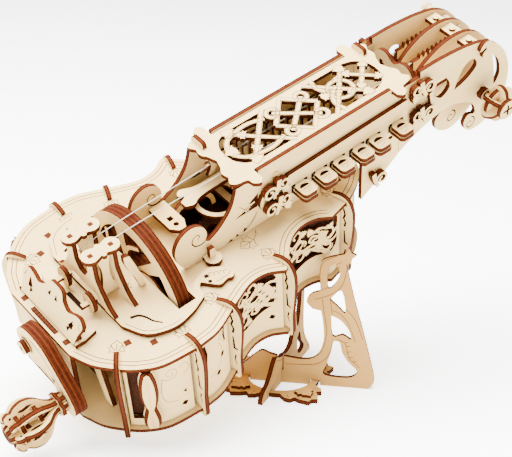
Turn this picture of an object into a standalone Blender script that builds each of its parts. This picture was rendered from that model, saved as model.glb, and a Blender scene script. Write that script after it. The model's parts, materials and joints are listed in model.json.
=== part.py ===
"""Hurdy-gurdy: a crank-driven string instrument of laser-cut plywood, on its display stand.

Frame: +X runs from the crank to the head in plan, +Y to the player's far side, +Z up.
The origin is on the table, under the middle of the object.
The instrument is drawn level, in its own frame (x crank to head, y far side, z off the
soundboard), and POSE then lays it on the stand, head raised and far side raised.
All sizes below are in millimetres and become metres through MM.
"""
import math

import bmesh
import bpy
from mathutils import Matrix, Vector

MM = 0.001
GAP = 0.35            # clearance between pieces that touch
PLY = 3.0             # plywood thickness

TOP_Z = 189.0         # upper face of the soundboard
BOTTOM_Z = 128.0      # lower face of the back plate
AXLE_Z = 178.0        # height of the crank axle
WHEEL_X = -84.0
WHEEL_RADIUS = 45.4
WHEEL_WIDTH = 9.0
SHAFT_RADIUS = 3.0
TAIL_X = -155.0       # crank end of the soundboard
TAIL_HALF = 30.0

WALL_Y = 22.0         # middle of each keybox wall and outer head plate
INNER_HEAD_Y = 8.0
RAIL_Z = 234.0        # top of the keybox rails
LID_Z = 230.0         # lower face of the keybox lid
LID_HALF = 19.9
RAIL_FRONT_X = -10.8
RAIL_REAR_X = 95.2
WALL_END_X = 104.0    # where the keybox walls meet the head plates

KEY_X = (17.5, 33.4, 48.0, 64.0, 77.6, 97.0)
KEY_WIDTH = 12.0
KEY_Z = 206.0
KEY_THICK = 6.0
KEY_FRONT_Y = -39.5

CRANK_PIN = (-34.2, 160.4)      # y, z of the crank handle's axis
HANDLE_RADIUS = 15.2

CROSS_Z = 224.0                 # the board that ties the head plates together
CROSS_X = (167.0, 176.0)
FLOOR_Z = 210.0                 # the board under the racks
TUNER_X, TUNER_Z = 178.0, 184.5
FAR_TUNER_X, FAR_TUNER_Z = 184.5, 216.0
BALL_RADIUS = 3.9
RACK_Z = 221.0

LID_HINGE = (25.0, 232.5)       # y, z of the lid's hinge line

STRING_RADIUS = 0.3
STRING_Z = 224.6

BIRCH = (0.87, 0.76, 0.58, 1.0)
SHADED_BIRCH = (0.70, 0.53, 0.33, 1.0)
YELLOW_BIRCH = (0.80, 0.60, 0.28, 1.0)
STRING_WHITE = (0.93, 0.93, 0.90, 1.0)

HEAD_UP = 20.0                  # how far the stand tips the instrument, in degrees
FAR_SIDE_UP = 21.0
SHIFT = (51.175, 56.469, -39.2)   # from the tipped instrument's own origin to the table's
CROSSING = (8.975, -23.431)     # plan position of the line where the stand's boards cross
BOARD_ANGLE = {"near": -44.0, "far": 34.4}
RING_INNER = 20.5               # the leaf ring round the crossing
RING_OUTER = 25.0
STAND_LAP = 2.2                 # half width of the slots where the stand's boards cross

# A quarter of the leaf ring's rim: degrees from the leaf's tip, and distance from the crossing.
LEAF_RIM = ((-32, 25.0), (-27, 30.5), (-21, 33.0), (-15, 31.0), (-11, 35.0), (-5, 39.5),
            (0, 37.5), (5, 39.5), (11, 35.0), (15, 31.0), (21, 33.0), (27, 30.5),
            (32, 25.0), (39, 25.0), (45, 25.0), (51, 25.0))

# The soundboard's edge on the +Y side, in bays between the five pairs of ribs.
BAYS = (
    ((-155.0, 30.0), (-149.6, 44.0), (-140.8, 55.6)),
    ((-140.8, 55.6), (-132.5, 63.2), (-119.0, 70.2), (-97.0, 72.8)),
    ((-97.0, 72.8), (-81.0, 71.0), (-64.3, 63.6)),
    ((-64.3, 63.6), (-57.0, 60.3), (-44.6, 55.7), (-33.0, 56.3), (-22.9, 62.0)),
    ((-19.4, 59.6), (-13.0, 52.6), (-7.7, 47.4), (0.0, 42.8), (9.0, 41.0), (18.0, 42.6),
     (25.7, 47.6)),
    ((41.0, 44.0), (49.0, 40.6), (57.0, 36.0), (65.0, 28.5), (69.0, 20.0)),
)

# Ribs: where each crosses the soundboard's edge, and how far its plane leans from +Y.
RIBS = (
    ("a", -140.8, 55.6, -36.0),
    ("b", -97.0, 72.8, 0.0),
    ("c", -64.3, 63.6, 21.0),
    ("d", -19.4, 59.6, 13.0),
    ("e", 41.0, 44.0, 13.0),
)


# ---------------------------------------------------------------- outlines

def smooth(points, steps=4):
    """A smooth open run through the points, ends included."""
    count = len(points)
    run = []
    for i in range(count - 1):
        p0 = Vector(points[i])
        p1 = Vector(points[i + 1])
        before = Vector(points[i - 1]) if i > 0 else p0 * 2 - p1
        after = Vector(points[i + 2]) if i + 2 < count else p1 * 2 - p0
        slope0 = (p1 - before) / 2
        slope1 = (after - p0) / 2
        for k in range(steps):
            t = k / steps
            start = 2 * t**3 - 3 * t**2 + 1
            leave = t**3 - 2 * t**2 + t
            arrive = t**3 - t**2
            run.append(tuple(p0 * start + slope0 * leave + p1 * (1 - start) + slope1 * arrive))
    run.append(tuple(points[-1]))
    return run


def arc(cx, cy, radius, start, end, count):
    """Points along an arc, angles in degrees, both ends included."""
    angles = [math.radians(start + (end - start) * i / count) for i in range(count + 1)]
    return [(cx + radius * math.cos(a), cy + radius * math.sin(a)) for a in angles]


def circle(cx, cy, radius, count=16):
    return arc(cx, cy, radius, 0, 360, count)[:-1]


def rectangle(x0, x1, y0, y1):
    return [(x0, y0), (x1, y0), (x1, y1), (x0, y1)]


def mirrored(half):
    """A closed outline from its +Y half, which runs from one end of the axis to the other."""
    return half + [(x, -y) for x, y in reversed(half) if abs(y) > 1e-6]


# ---------------------------------------------------------------- placing

def flat(z):
    """Outline x, y lie along +X, +Y."""
    return Matrix.Translation((0, 0, z * MM))


def basis(across, up, origin):
    normal = across.cross(up)
    matrix = Matrix((across, up, normal)).transposed().to_4x4()
    matrix.translation = origin * MM
    return matrix


def lengthwise(y):
    """Outline x, y lie along +X, +Z."""
    return basis(Vector((1, 0, 0)), Vector((0, 0, 1)), Vector((0, y, 0)))


def crosswise(x):
    """Outline x, y lie along +Y, +Z."""
    return basis(Vector((0, 1, 0)), Vector((0, 0, 1)), Vector((x, 0, 0)))


def tipped():
    """The move that lays the level instrument on its stand."""
    pitch = Matrix.Rotation(-math.radians(HEAD_UP), 4, "Y")
    roll = Matrix.Rotation(math.radians(FAR_SIDE_UP), 4, "X")
    return Matrix.Translation(Vector(SHIFT) * MM) @ pitch @ roll


def upright(x, y, direction):
    """A vertical plate through x, y whose outline x runs along a plan direction."""
    across = Vector((math.cos(direction), math.sin(direction), 0))
    return basis(across, Vector((0, 0, 1)), Vector((x, y, 0)))


# ---------------------------------------------------------------- building

def clear_scene():
    for item in list(bpy.data.objects):
        bpy.data.objects.remove(item, do_unlink=True)


def collection(name):
    group = bpy.data.collections.new(name)
    bpy.context.scene.collection.children.link(group)
    return group


def material(name, colour, roughness=0.7):
    result = bpy.data.materials.new(name)
    result.use_nodes = True
    shader = result.node_tree.nodes["Principled BSDF"]
    shader.inputs["Base Color"].default_value = colour
    shader.inputs["Roughness"].default_value = roughness
    shader.inputs["Metallic"].default_value = 0.0
    return result


def finish(item, name, colour, group):
    item.name = name
    item.data.name = name
    item.data.materials.append(material(name, colour))
    group.objects.link(item)
    return item


def plate(name, outline, placing, thickness=PLY, holes=(), colour=BIRCH):
    """A flat board: a filled 2D outline with its holes, extruded about its middle plane."""
    curve = bpy.data.curves.new(name, "CURVE")
    curve.dimensions = "2D"
    curve.fill_mode = "BOTH"
    curve.extrude = thickness * MM / 2
    for loop in (outline, *holes):
        spline = curve.splines.new("POLY")
        spline.points.add(len(loop) - 1)
        for point, (x, y) in zip(spline.points, loop):
            point.co = (x * MM, y * MM, 0, 1)
        spline.use_cyclic_u = True
    item = finish(bpy.data.objects.new(name, curve), name, colour, PARTS)
    item.matrix_world = placing
    return item


def rod(name, start, end, radius, colour=BIRCH, sides=16):
    """A round bar between two points."""
    a = Vector(start) * MM
    b = Vector(end) * MM
    mesh = bpy.data.meshes.new(name)
    form = bmesh.new()
    bmesh.ops.create_cone(form, cap_ends=True, segments=sides, radius1=radius * MM,
                          radius2=radius * MM, depth=(b - a).length)
    form.to_mesh(mesh)
    form.free()
    mesh.shade_smooth()
    mesh.set_sharp_from_angle(angle=math.radians(40))
    item = finish(bpy.data.objects.new(name, mesh), name, colour, PARTS)
    turn = (b - a).to_track_quat("Z", "Y").to_matrix().to_4x4()
    item.matrix_world = Matrix.Translation((a + b) / 2) @ turn
    return item


def turned(name, profile, placing, colour=BIRCH, sides=20):
    """A turned shape: profile points (radius, height), top to bottom, swept about local Z."""
    mesh = bpy.data.meshes.new(name)
    form = bmesh.new()
    verts = [form.verts.new((r * MM, 0, z * MM)) for r, z in profile]
    for a, b in zip(verts, verts[1:]):
        form.edges.new((a, b))
    form.to_mesh(mesh)
    form.free()
    item = finish(bpy.data.objects.new(name, mesh), name, colour, PARTS)
    screw = item.modifiers.new("turn", "SCREW")
    screw.steps = sides
    screw.render_steps = sides
    screw.use_merge_vertices = True
    screw.merge_threshold = 0.00001
    item.matrix_world = placing
    return item


def string(name, route, radius=STRING_RADIUS):
    """A taut string along the points of its route."""
    curve = bpy.data.curves.new(name, "CURVE")
    curve.dimensions = "3D"
    curve.bevel_depth = radius * MM
    curve.bevel_resolution = 1
    curve.use_fill_caps = True
    spline = curve.splines.new("POLY")
    spline.points.add(len(route) - 1)
    for point, place in zip(spline.points, route):
        point.co = (*(Vector(place) * MM), 1)
    return finish(bpy.data.objects.new(name, curve), name, STRING_WHITE, PARTS)


def as_mesh(item):
    """The same board as a closed mesh, ready for a Boolean."""
    bpy.context.view_layer.update()
    evaluated = item.evaluated_get(bpy.context.evaluated_depsgraph_get())
    mesh = bpy.data.meshes.new_from_object(evaluated)
    form = bmesh.new()
    form.from_mesh(mesh)
    bmesh.ops.remove_doubles(form, verts=form.verts, dist=0.000001)
    form.to_mesh(mesh)
    form.free()
    placing = item.matrix_world.copy()
    solid = bpy.data.objects.new(item.name, mesh)
    solid.matrix_world = placing
    bpy.data.objects.remove(item, do_unlink=True)
    return solid


def union(name, items):
    """One piece from several that are glued or cut as one: the first takes in the others."""
    solids = [as_mesh(item) for item in items]
    solids[0].name = name
    PARTS.objects.link(solids[0])
    for other in solids[1:]:
        CUTTERS.objects.link(other)
        other.hide_render = True
        other.display_type = "WIRE"
        hang(other, solids[0])
        joint = solids[0].modifiers.new("join " + other.name, "BOOLEAN")
        joint.operation = "UNION"
        joint.solver = "EXACT"
        joint.object = other


def hang(child, parent):
    """Parent one object to another without moving it."""
    child.parent = parent
    child.matrix_parent_inverse = parent.matrix_world.inverted()


def lay_on_stand():
    for item in list(PARTS.objects) + list(CUTTERS.objects):
        if item.parent is None:
            item.matrix_world = POSE @ item.matrix_world
    bpy.context.view_layer.update()


def pivot(name, place, pieces, carrier=None):
    """An empty on a turning axis, which the pieces that turn about it hang from."""
    empty = bpy.data.objects.new(name, None)
    empty.empty_display_size = 0.01
    empty.matrix_world = POSE @ Matrix.Translation(Vector(place) * MM)
    PARTS.objects.link(empty)
    bpy.context.view_layer.update()
    for piece in pieces:
        hang(PARTS.objects[piece], empty)
    if carrier:
        hang(empty, carrier)
    return empty


# ---------------------------------------------------------------- the body

def edge_half():
    """The +Y half of the soundboard's outline, from the crank end to the head end."""
    half = []
    for bay in BAYS:
        half += smooth(bay)
    return half


def soundboard_and_back():
    slot_half = 46.6
    slot = rectangle(WHEEL_X - 6.2, WHEEL_X + 6.2, -slot_half, slot_half)
    mouth = smooth([(-47.0, 14.0), (-48.5, 0.0), (-47.0, -14.0)])
    windows = [mouth + [(-40.0, -17.5), (-14.0, -17.5), (-14.0, 17.5), (-40.0, 17.5)],
               rectangle(-9.0, 23.0, -17.5, 17.5), rectangle(28.0, 60.0, -17.5, 17.5)]
    tail_slot = rectangle(-153.6, -151.2, -11.0, 11.0)
    holes = [slot, tail_slot] + windows
    plate("soundboard", mirrored(edge_half()), flat(TOP_Z - PLY / 2), holes=holes)
    plate("back_plate", mirrored(edge_half()), flat(BOTTOM_Z + PLY / 2), colour=SHADED_BIRCH)


def rib_outline():
    """One rib: outline x runs outward from the soundboard's edge, outline y up."""
    top = TOP_Z
    low = BOTTOM_Z
    notch = 0.9
    back = -9.0
    outer = smooth([(-11.0, top + 1.6), (-5.0, top + 3.3), (0.5, top + 2.2), (4.2, top - 3.5),
                    (5.6, top - 13.0), (4.8, top - 29.0), (3.4, top - 44.0), (3.4, low + 3.0),
                    (2.8, low - 2.0), (0.5, low - 3.6), (-4.5, low - 2.4)])
    above = low + PLY + GAP
    below = top - PLY - GAP
    inner = [(-4.5, low - GAP), (notch, low - GAP), (notch, above), (back, above),
             (back, below), (notch, below), (notch, top + GAP), (-11.0, top + GAP)]
    return outer + inner


def ribs():
    for label, x, y, lean in RIBS:
        for side, sign in (("near", -1), ("far", 1)):
            outward = sign * math.radians(90 - lean)
            plate(f"rib_{label}_{side}", rib_outline(), upright(x, sign * y, outward))


def side_panels():
    """Walls between the ribs: bands that follow the soundboard's edge, set in from it."""
    height = TOP_Z - BOTTOM_Z - 2 * PLY - 2 * GAP
    middle = (TOP_Z + BOTTOM_Z) / 2
    inset = 3.0
    thick = 2.2
    for number, bay in enumerate(BAYS[1:5]):
        run = smooth(bay, 5)
        if number == 3:
            run = run + [(RIBS[4][1], RIBS[4][2])]
        ends = (RIBS[number], RIBS[number + 1])
        outer = between(offset(run, inset), ends)
        inner = between(offset(run, inset + thick), ends)
        band = outer + inner[::-1]
        for side, sign in (("near", -1), ("far", 1)):
            placed = [(x, sign * y) for x, y in band]
            plate(f"side_panel_{number + 1}_{side}", placed, flat(middle), height)


def offset(run, distance):
    """The run moved towards the centre line along its own normals."""
    moved = []
    for i, point in enumerate(run):
        before = Vector(run[max(i - 1, 0)])
        after = Vector(run[min(i + 1, len(run) - 1)])
        along = (after - before).normalized()
        moved.append((point[0] + along.y * distance, point[1] - along.x * distance))
    return moved


def between(run, ends):
    """The points of a run that advance along +X and stay clear of the ribs at its ends."""
    kept = []
    for x, y in run:
        clear = True
        for side, (_, rib_x, rib_y, lean) in zip((1, -1), ends):
            angle = math.radians(90 - lean)
            past = (x - rib_x) * math.sin(angle) - (y - rib_y) * math.cos(angle)
            clear = clear and past * side > PLY / 2 + GAP
        if clear and (not kept or x > kept[-1][0] + 0.3):
            kept.append((x, y))
    return kept


def end_boards():
    inside = (BOTTOM_Z + PLY + GAP, TOP_Z - PLY - GAP)
    shaft_hole = circle(0, AXLE_Z, SHAFT_RADIUS + GAP)
    board = rectangle(-27.5, 27.5, *inside)
    plate("crank_end_board", board, crosswise(-152.6), holes=(shaft_hole,))
    bearing = [(-24.0, inside[0]), (24.0, inside[0]), (24.0, 160.0), (10.0, inside[1]),
               (-10.0, inside[1]), (-24.0, 160.0)]
    plate("wheel_bearing", bearing, crosswise(-70.0), holes=(shaft_hole,))
    plate("head_end_board", rectangle(-20.0, 20.0, *inside), crosswise(66.0))


# ---------------------------------------------------------------- tail and wheel

def tail():
    lean = math.radians(25)
    across = Vector((0, 1, 0))
    up = Vector((math.sin(lean), 0, math.cos(lean)))
    half = smooth([(0.0, 23.0), (6.0, 22.0), (9.5, 17.0), (15.0, 14.5), (21.0, 16.5),
                   (26.0, 17.0), (30.0, 13.5), (28.0, 7.0), (27.0, 0.0)])
    crest = half + [(-x, y) for x, y in reversed(half) if x > 0]
    clover = [smooth([(s * 18.0, 8.0), (s * 22.0, 13.0), (s * 22.0, 7.0), (s * 18.0, 8.0)])[:-1]
              for s in (-1, 1)]
    plate("tail_crest", crest, basis(across, up, Vector((-148.5, 0, TOP_Z + 1.1))), holes=clover)


def wheel_cradle():
    """The raised base plate under the string trestle, with its curled spring arm."""
    slot = rectangle(WHEEL_X - 6.2, WHEEL_X + 6.2, -46.6, 46.6)
    far_edge = smooth([(-76.0, 49.0), (-84.0, 53.0), (-99.7, 55.2), (-114.6, 49.2),
                       (-122.0, 35.0)])
    near_edge = smooth([(-122.0, -35.0), (-114.6, -49.2), (-99.7, -55.2), (-86.0, -53.5),
                        (-77.0, -50.0)])
    arm_out = smooth([(-77.0, -50.0), (-72.5, -47.5), (-71.5, -42.5), (-68.5, -39.0),
                      (-65.0, -43.0), (-60.5, -47.5), (-54.5, -46.5), (-51.5, -47.5),
                      (-48.0, -44.0), (-51.5, -38.0), (-58.0, -33.0), (-64.5, -34.0),
                      (-71.0, -36.0), (-75.5, -40.5)])
    outline = far_edge + near_edge + arm_out[1:] + [(-76.0, -30.0), (-75.5, 40.0)]
    plate("wheel_cradle", outline, flat(TOP_Z + GAP + PLY / 2), holes=(slot,))


def trestle():
    """Two leg frames with bone-shaped caps that carry the strings behind the wheel."""
    foot = TOP_Z + PLY + 2 * GAP
    top = 226.5
    for name, x in (("rear", -121.0), ("front", -107.0)):
        leg = smooth([(17.0, 206.0), (23.0, 197.0), (29.0, foot)])
        half = [(2.5, 208.0), (6.5, 214.0), (7.0, top), (13.0, top), (13.5, 214.0), *leg,
                (20.0, foot), (12.0, 200.0)]
        outline = half + [(-y, z) for y, z in reversed(half)]
        plate(f"trestle_{name}", outline, crosswise(x))
    for side, sign in (("near", -1), ("far", 1)):
        cap = (arc(-121.0, sign * 10.0, 5.5, 60, 300, 8) + [(-114.0, sign * 10.0 - 3.0)]
               + arc(-107.0, sign * 10.0, 5.5, -120, 120, 8) + [(-114.0, sign * 10.0 + 3.0)])
        plate(f"string_cap_{side}", cap, flat(top + GAP + PLY / 2))


def wheel_and_crank():
    spokes = 6
    holes = [circle(0, AXLE_Z, SHAFT_RADIUS + GAP)]
    for i in range(spokes):
        a = 360 / spokes * i
        inner = arc(0, AXLE_Z, 13.0, a + 8, a + 46, 4)
        outer = arc(0, AXLE_Z, 36.5, a + 64, a + 18, 6)
        holes.append(inner + outer)
    rim = circle(0, AXLE_Z, WHEEL_RADIUS, 48)
    plate("wheel", rim, crosswise(WHEEL_X), WHEEL_WIDTH, holes=holes)
    rod("drive_shaft", (-166.0 - GAP, 0, AXLE_Z), (-66.0, 0, AXLE_Z), SHAFT_RADIUS, SHADED_BIRCH)
    blade = smooth([(11.0, 176.0), (9.5, 184.0), (2.0, 191.5), (-8.0, 193.5), (-18.0, 191.0),
                    (-26.0, 184.0), (-33.0, 176.5), (-40.0, 169.0), (-44.5, 160.0),
                    (-42.0, 151.5), (-35.0, 149.0), (-28.0, 152.5), (-26.0, 160.0),
                    (-22.5, 167.0), (-12.0, 167.5), (-3.0, 165.0), (6.0, 168.0),
                    (11.0, 176.0)])[:-1]
    pin_hole = circle(*CRANK_PIN, SHAFT_RADIUS + GAP)
    shaft_hole = circle(0, AXLE_Z, SHAFT_RADIUS + GAP)
    plate("crank_arm", blade, crosswise(-161.5), 9.0 - 2 * GAP, holes=(pin_hole, shaft_hole))
    plate("shaft_lock", circle(0, AXLE_Z, 4.6, 12), crosswise(-168.2), colour=YELLOW_BIRCH)


def crank_handle():
    """The onion-shaped grip: three boards crossing on the handle's axis, and its pin."""
    y, z = CRANK_PIN
    r = HANDLE_RADIUS
    boards = []
    for i in range(3):
        shift = 0.25 * i
        half = smooth([(-166.5 - shift, 6.5), (-171.0, 5.5), (-176.0, 7.5), (-182.0, 12.5),
                       (-189.0, r), (-196.0, r - 1.8), (-202.0, 9.0), (-205.0 + shift, 4.5)])
        outline = mirrored(half)
        angle = math.radians(90 + 60 * i)
        up = Vector((0, math.cos(angle), math.sin(angle)))
        placing = basis(Vector((1, 0, 0)), up, Vector((0, y, z)))
        boards.append(plate(f"handle_board_{i}", outline, placing))
    pin = rod("handle_pin", (-180.0, y, z), (-157.6, y, z), SHAFT_RADIUS)
    union("crank_handle", boards + [pin])


# ---------------------------------------------------------------- keybox

def wall_outline():
    """A keybox wall from its front volute to the neck, x along +X and y up."""
    foot = TOP_Z + GAP
    volute = smooth([(-66.5, foot), (-71.5, 196.0), (-74.2, 207.0), (-70.0, 216.5),
                     (-61.5, 220.3), (-53.5, 216.3), (-50.6, 208.6), (-52.5, 203.5)])
    front = smooth([(-49.0, 201.3), (-40.5, 206.5), (-32.0, 216.0), (-28.2, 226.0),
                    (-27.5, LID_Z - GAP)])
    rails = [(RAIL_FRONT_X, LID_Z - GAP), (RAIL_FRONT_X, RAIL_Z), (RAIL_REAR_X, RAIL_Z),
             (RAIL_REAR_X, LID_Z - GAP), (WALL_END_X, LID_Z - GAP)]
    neck = smooth([(WALL_END_X, 174.0), (91.3, 164.6), (72.4, 152.5)])
    return volute + front + rails + neck + [(72.4, foot)]


def keybox():
    low = KEY_Z - KEY_THICK / 2 - GAP
    high = KEY_Z + KEY_THICK / 2 + GAP
    half = KEY_WIDTH / 2 + GAP
    key_slots = [rectangle(x - half, x + half, low, high) for x in KEY_X]
    window = [(-29.5, 205.5), (-12.5, 205.5), (-11.5, 216.5)]
    plate("keybox_near_wall", wall_outline(), lengthwise(-WALL_Y), holes=[window] + key_slots)
    plate("keybox_far_wall", wall_outline(), lengthwise(WALL_Y), holes=[window])
    guide = [(-7.0, 199.0), (106.5, 199.0), (106.5, 221.5), (9.5, 219.0), (0.0, 208.5)]
    plate("key_guide", guide, lengthwise(-WALL_Y - PLY - GAP), holes=key_slots)


def lid():
    """The fretted keybox lid, hinged along its far edge."""
    tab = 31.0
    yoke = smooth([(-26.5, 15.5), (-29.0, 20.0), (-26.0, 23.0), (-19.5, 24.5),
                   (-18.5, tab - 2.5), (-14.5, tab), (-11.5, tab - 3.0)])
    half = [(-23.0, 0.0), *smooth([(-25.0, 6.0), (-27.5, 10.5), (-26.5, 15.5)])] + yoke[1:]
    half = half + [(-11.2 - GAP, LID_HALF + 1.0), (-11.2 - GAP, LID_HALF)]
    middle = (RAIL_FRONT_X + RAIL_REAR_X) / 2
    rear = [(2 * middle - x, y) for x, y in reversed(half)]
    fret = []
    for cx in (5.0, 42.0, 79.0):
        for s in (-1, 1):
            ring = [(cx + 15.5 * math.cos(a), s * (9.6 + 6.6 * math.sin(a)))
                    for a in [math.radians(30 * i) for i in range(12)]]
            fret.append(ring)
    board = plate("lid_board", mirrored(half + rear), flat(LID_Z + PLY / 2), holes=fret)
    upstand = rectangle(12.5, 24.0, LID_Z + 1.0, LID_Z + PLY + 4.0)
    catch = plate("lid_catch", upstand, crosswise(-22.0))
    union("keybox_lid", [board, catch])


def keys():
    for number, x in enumerate(KEY_X, 1):
        left = x - KEY_WIDTH / 2
        right = x + KEY_WIDTH / 2
        corner = 2.5
        front = KEY_FRONT_Y + corner
        outline = [(left, -8.0), *arc(left + corner, front, corner, 180, 270, 3),
                   *arc(right - corner, front, corner, 270, 360, 3), (right, -8.0)]
        cap = plate(f"key_cap_{number}", outline, flat(KEY_Z), KEY_THICK)
        flag_outline = rectangle(-17.0, -9.0, KEY_Z, STRING_Z + 2.0)
        flag = plate(f"tangent_{number}", flag_outline, crosswise(x))
        union(f"key_{number}", [cap, flag])


def bridge():
    """The small yellow bridge plate at the keybox mouth, on its post."""
    outline = [(-62.0, -2.0), (-62.0, 19.5), (-50.5, 19.5), (-50.5, -1.0), (-53.5, -6.5),
               (-58.0, -6.5)]
    square = rectangle(-58.5, -55.0, 3.0, 6.5)
    holes = (square, circle(-56.5, -1.0, 1.8, 8))
    board = plate("bridge_board", outline, flat(201.5), holes=holes, colour=YELLOW_BIRCH)
    post = plate("bridge_post", rectangle(8.0, 17.0, TOP_Z + GAP, 201.0), crosswise(-55.0))
    union("string_bridge", [board, post])


# ---------------------------------------------------------------- head

def head_outline():
    top = smooth([(WALL_END_X + 16.0, RAIL_Z), (139.0, 233.8), (160.0, 231.6), (178.0, 226.5),
                  (192.6, 215.5), (201.6, 200.5), (204.6, 187.0), (203.6, 173.5),
                  (198.0, 161.0), (189.0, 154.6), (180.3, 151.8), (172.0, 152.6),
                  (167.0, 157.0), (165.0, 163.5), (168.5, 168.5), (174.0, 166.5)])
    under = smooth([(175.4, 168.0), (172.5, 175.5), (165.0, 182.0), (152.0, 187.5),
                    (138.0, 187.3), (120.0, 182.0), (WALL_END_X + GAP, 174.5)])
    return [(WALL_END_X + GAP, LID_Z - GAP), (WALL_END_X + 16.0, LID_Z - GAP)] + top + under


def head_plates():
    openings = [smooth(points + [points[0]], 3)[:-1] for points in (
        [(133.0, 207.0), (136.5, 217.0), (144.0, 215.5), (148.0, 206.0), (140.5, 200.5)],
        [(152.0, 200.0), (159.0, 215.0), (168.0, 218.0), (172.0, 210.0), (163.0, 203.0)],
        [(186.0, 212.0), (193.0, 203.0), (195.5, 190.0), (191.0, 183.0), (190.0, 195.0)])]
    tuner_hole = circle(TUNER_X, TUNER_Z, SHAFT_RADIUS + GAP)
    far_hole = circle(FAR_TUNER_X, FAR_TUNER_Z, SHAFT_RADIUS + GAP)
    plate("head_near_plate", head_outline(), lengthwise(-WALL_Y), holes=openings + [tuner_hole])
    plate("head_far_plate", head_outline(), lengthwise(WALL_Y), holes=[openings[0], far_hole])
    inner = smooth([(126.0, 197.0), (129.0, 210.0), (137.0, 220.5), (153.0, 228.5),
                    (171.0, 229.0), (186.0, 221.5), (197.0, 208.0), (202.0, 192.0),
                    (201.0, 176.0), (193.0, 163.5), (180.0, 152.0), (167.0, 147.5),
                    (155.0, 153.5), (152.0, 163.0), (158.0, 172.0), (150.0, 186.0),
                    (137.0, 190.5), (126.0, 197.0)])[:-1]
    half = PLY / 2 + GAP
    slots = [rectangle(CROSS_X[0] - GAP, CROSS_X[1] + GAP, CROSS_Z - half, CROSS_Z + half),
             rectangle(137.0 - GAP, 149.0 + GAP, FLOOR_Z - half, FLOOR_Z + half)]
    plate("head_inner_plate_near", inner, lengthwise(-INNER_HEAD_Y), holes=slots + [tuner_hole])
    plate("head_inner_plate_far", inner, lengthwise(INNER_HEAD_Y), holes=slots + [far_hole])
    reach = WALL_Y - PLY / 2 - GAP
    plate("head_cross_board", rectangle(*CROSS_X, -reach, reach), flat(CROSS_Z))
    plate("head_floor", rectangle(137.0, 149.0, -reach, reach), flat(FLOOR_Z))


def rack_outline(front, rear):
    """A tuning rack: a bar with saw-cut teeth along its top."""
    pitch = 4.0
    teeth = int((rear - front - 4.0) / pitch)
    outline = [(front, RACK_Z - 9.0), (rear, RACK_Z - 9.0), (rear, RACK_Z - 2.5)]
    for i in range(teeth):
        x = rear - 1.5 - i * pitch
        outline += [(x, RACK_Z - 2.5), (x - 0.7, RACK_Z), (x - 1.7, RACK_Z),
                    (x - 2.4, RACK_Z - 2.5)]
    return outline + [(front, RACK_Z - 2.5)]


def tuning():
    plate("rack_near", rack_outline(136.0, 169.5), lengthwise(0.0))
    plate("rack_far", rack_outline(136.0, 162.0), lengthwise(15.0))
    start = (TUNER_X, -46.0, TUNER_Z)
    shaft = rod("tuner_near_shaft", start, (TUNER_X, -5.0, TUNER_Z), SHAFT_RADIUS)
    grip = (arc(TUNER_X - 10.0, TUNER_Z, 5.0, 270, 90, 6)
            + arc(TUNER_X + 10.0, TUNER_Z, 5.0, 90, -90, 6))
    union("tuner_near", [plate("tuner_near_grip", grip, lengthwise(-38.0), 2 * PLY), shaft])
    start = (FAR_TUNER_X, 5.0, FAR_TUNER_Z)
    shaft = rod("tuner_far_shaft", start, (FAR_TUNER_X, 34.0, FAR_TUNER_Z), SHAFT_RADIUS)
    around = [math.radians(15 * i) for i in range(1, 12)]
    ball = [(BALL_RADIUS * math.sin(a), BALL_RADIUS * math.cos(a)) for a in around]
    ball = [(0.0, BALL_RADIUS), *ball, (0.0, -BALL_RADIUS)]
    placing = Matrix.Translation(Vector((FAR_TUNER_X, 36.0, FAR_TUNER_Z)) * MM)
    union("tuner_far", [turned("tuner_far_ball", ball, placing), shaft])


def strings():
    string("string_near", [(-118.9, -3.0, 221.0), (-105.0, -3.0, 224.0), (WHEEL_X, -3.0, STRING_Z),
                           (0.0, -3.0, STRING_Z - 0.4), (135.6, 0.0, 217.5)])
    string("string_far", [(-118.9, 4.5, 221.0), (-105.0, 5.0, 224.0), (WHEEL_X, 5.5, STRING_Z),
                          (0.0, 8.0, STRING_Z - 0.4), (120.0, 14.0, 219.0), (135.6, 15.0, 217.5)])


# ---------------------------------------------------------------- stand

def back_plate_height(along, side):
    """Height over the table of the back plate's lower face, above a point of a stand board."""
    angle = math.radians(BOARD_ANGLE[side])
    x = CROSSING[0] + along * math.cos(angle)
    y = CROSSING[1] + along * math.sin(angle)
    normal = POSE.to_3x3().col[2]
    face = POSE.translation / MM + normal * BOTTOM_Z
    return face.z - (normal.x * (x - face.x) + normal.y * (y - face.y)) / normal.z


def wing(length):
    """A stand board's low end, from the crossing to the table."""
    return smooth([(-STAND_LAP, 18.4), (-7.0, 19.6), (-12.0, 21.4), (-16.5, 18.4), (-21.0, 13.8),
                   (-27.0, 9.6), (-length + 4.0, 7.0), (-length, 3.5), (-length, 0.0)])


def ring_notch(along):
    """Where a board steps over the leaf ring."""
    low = RING_INNER - 1.0
    high = RING_OUTER + 1.2
    step = PLY + GAP
    notch = [(low, 0.0), (low, step), (high, step), (high, 0.0)]
    return notch if along > 0 else [(-x, h) for x, h in reversed(notch)]


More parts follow.
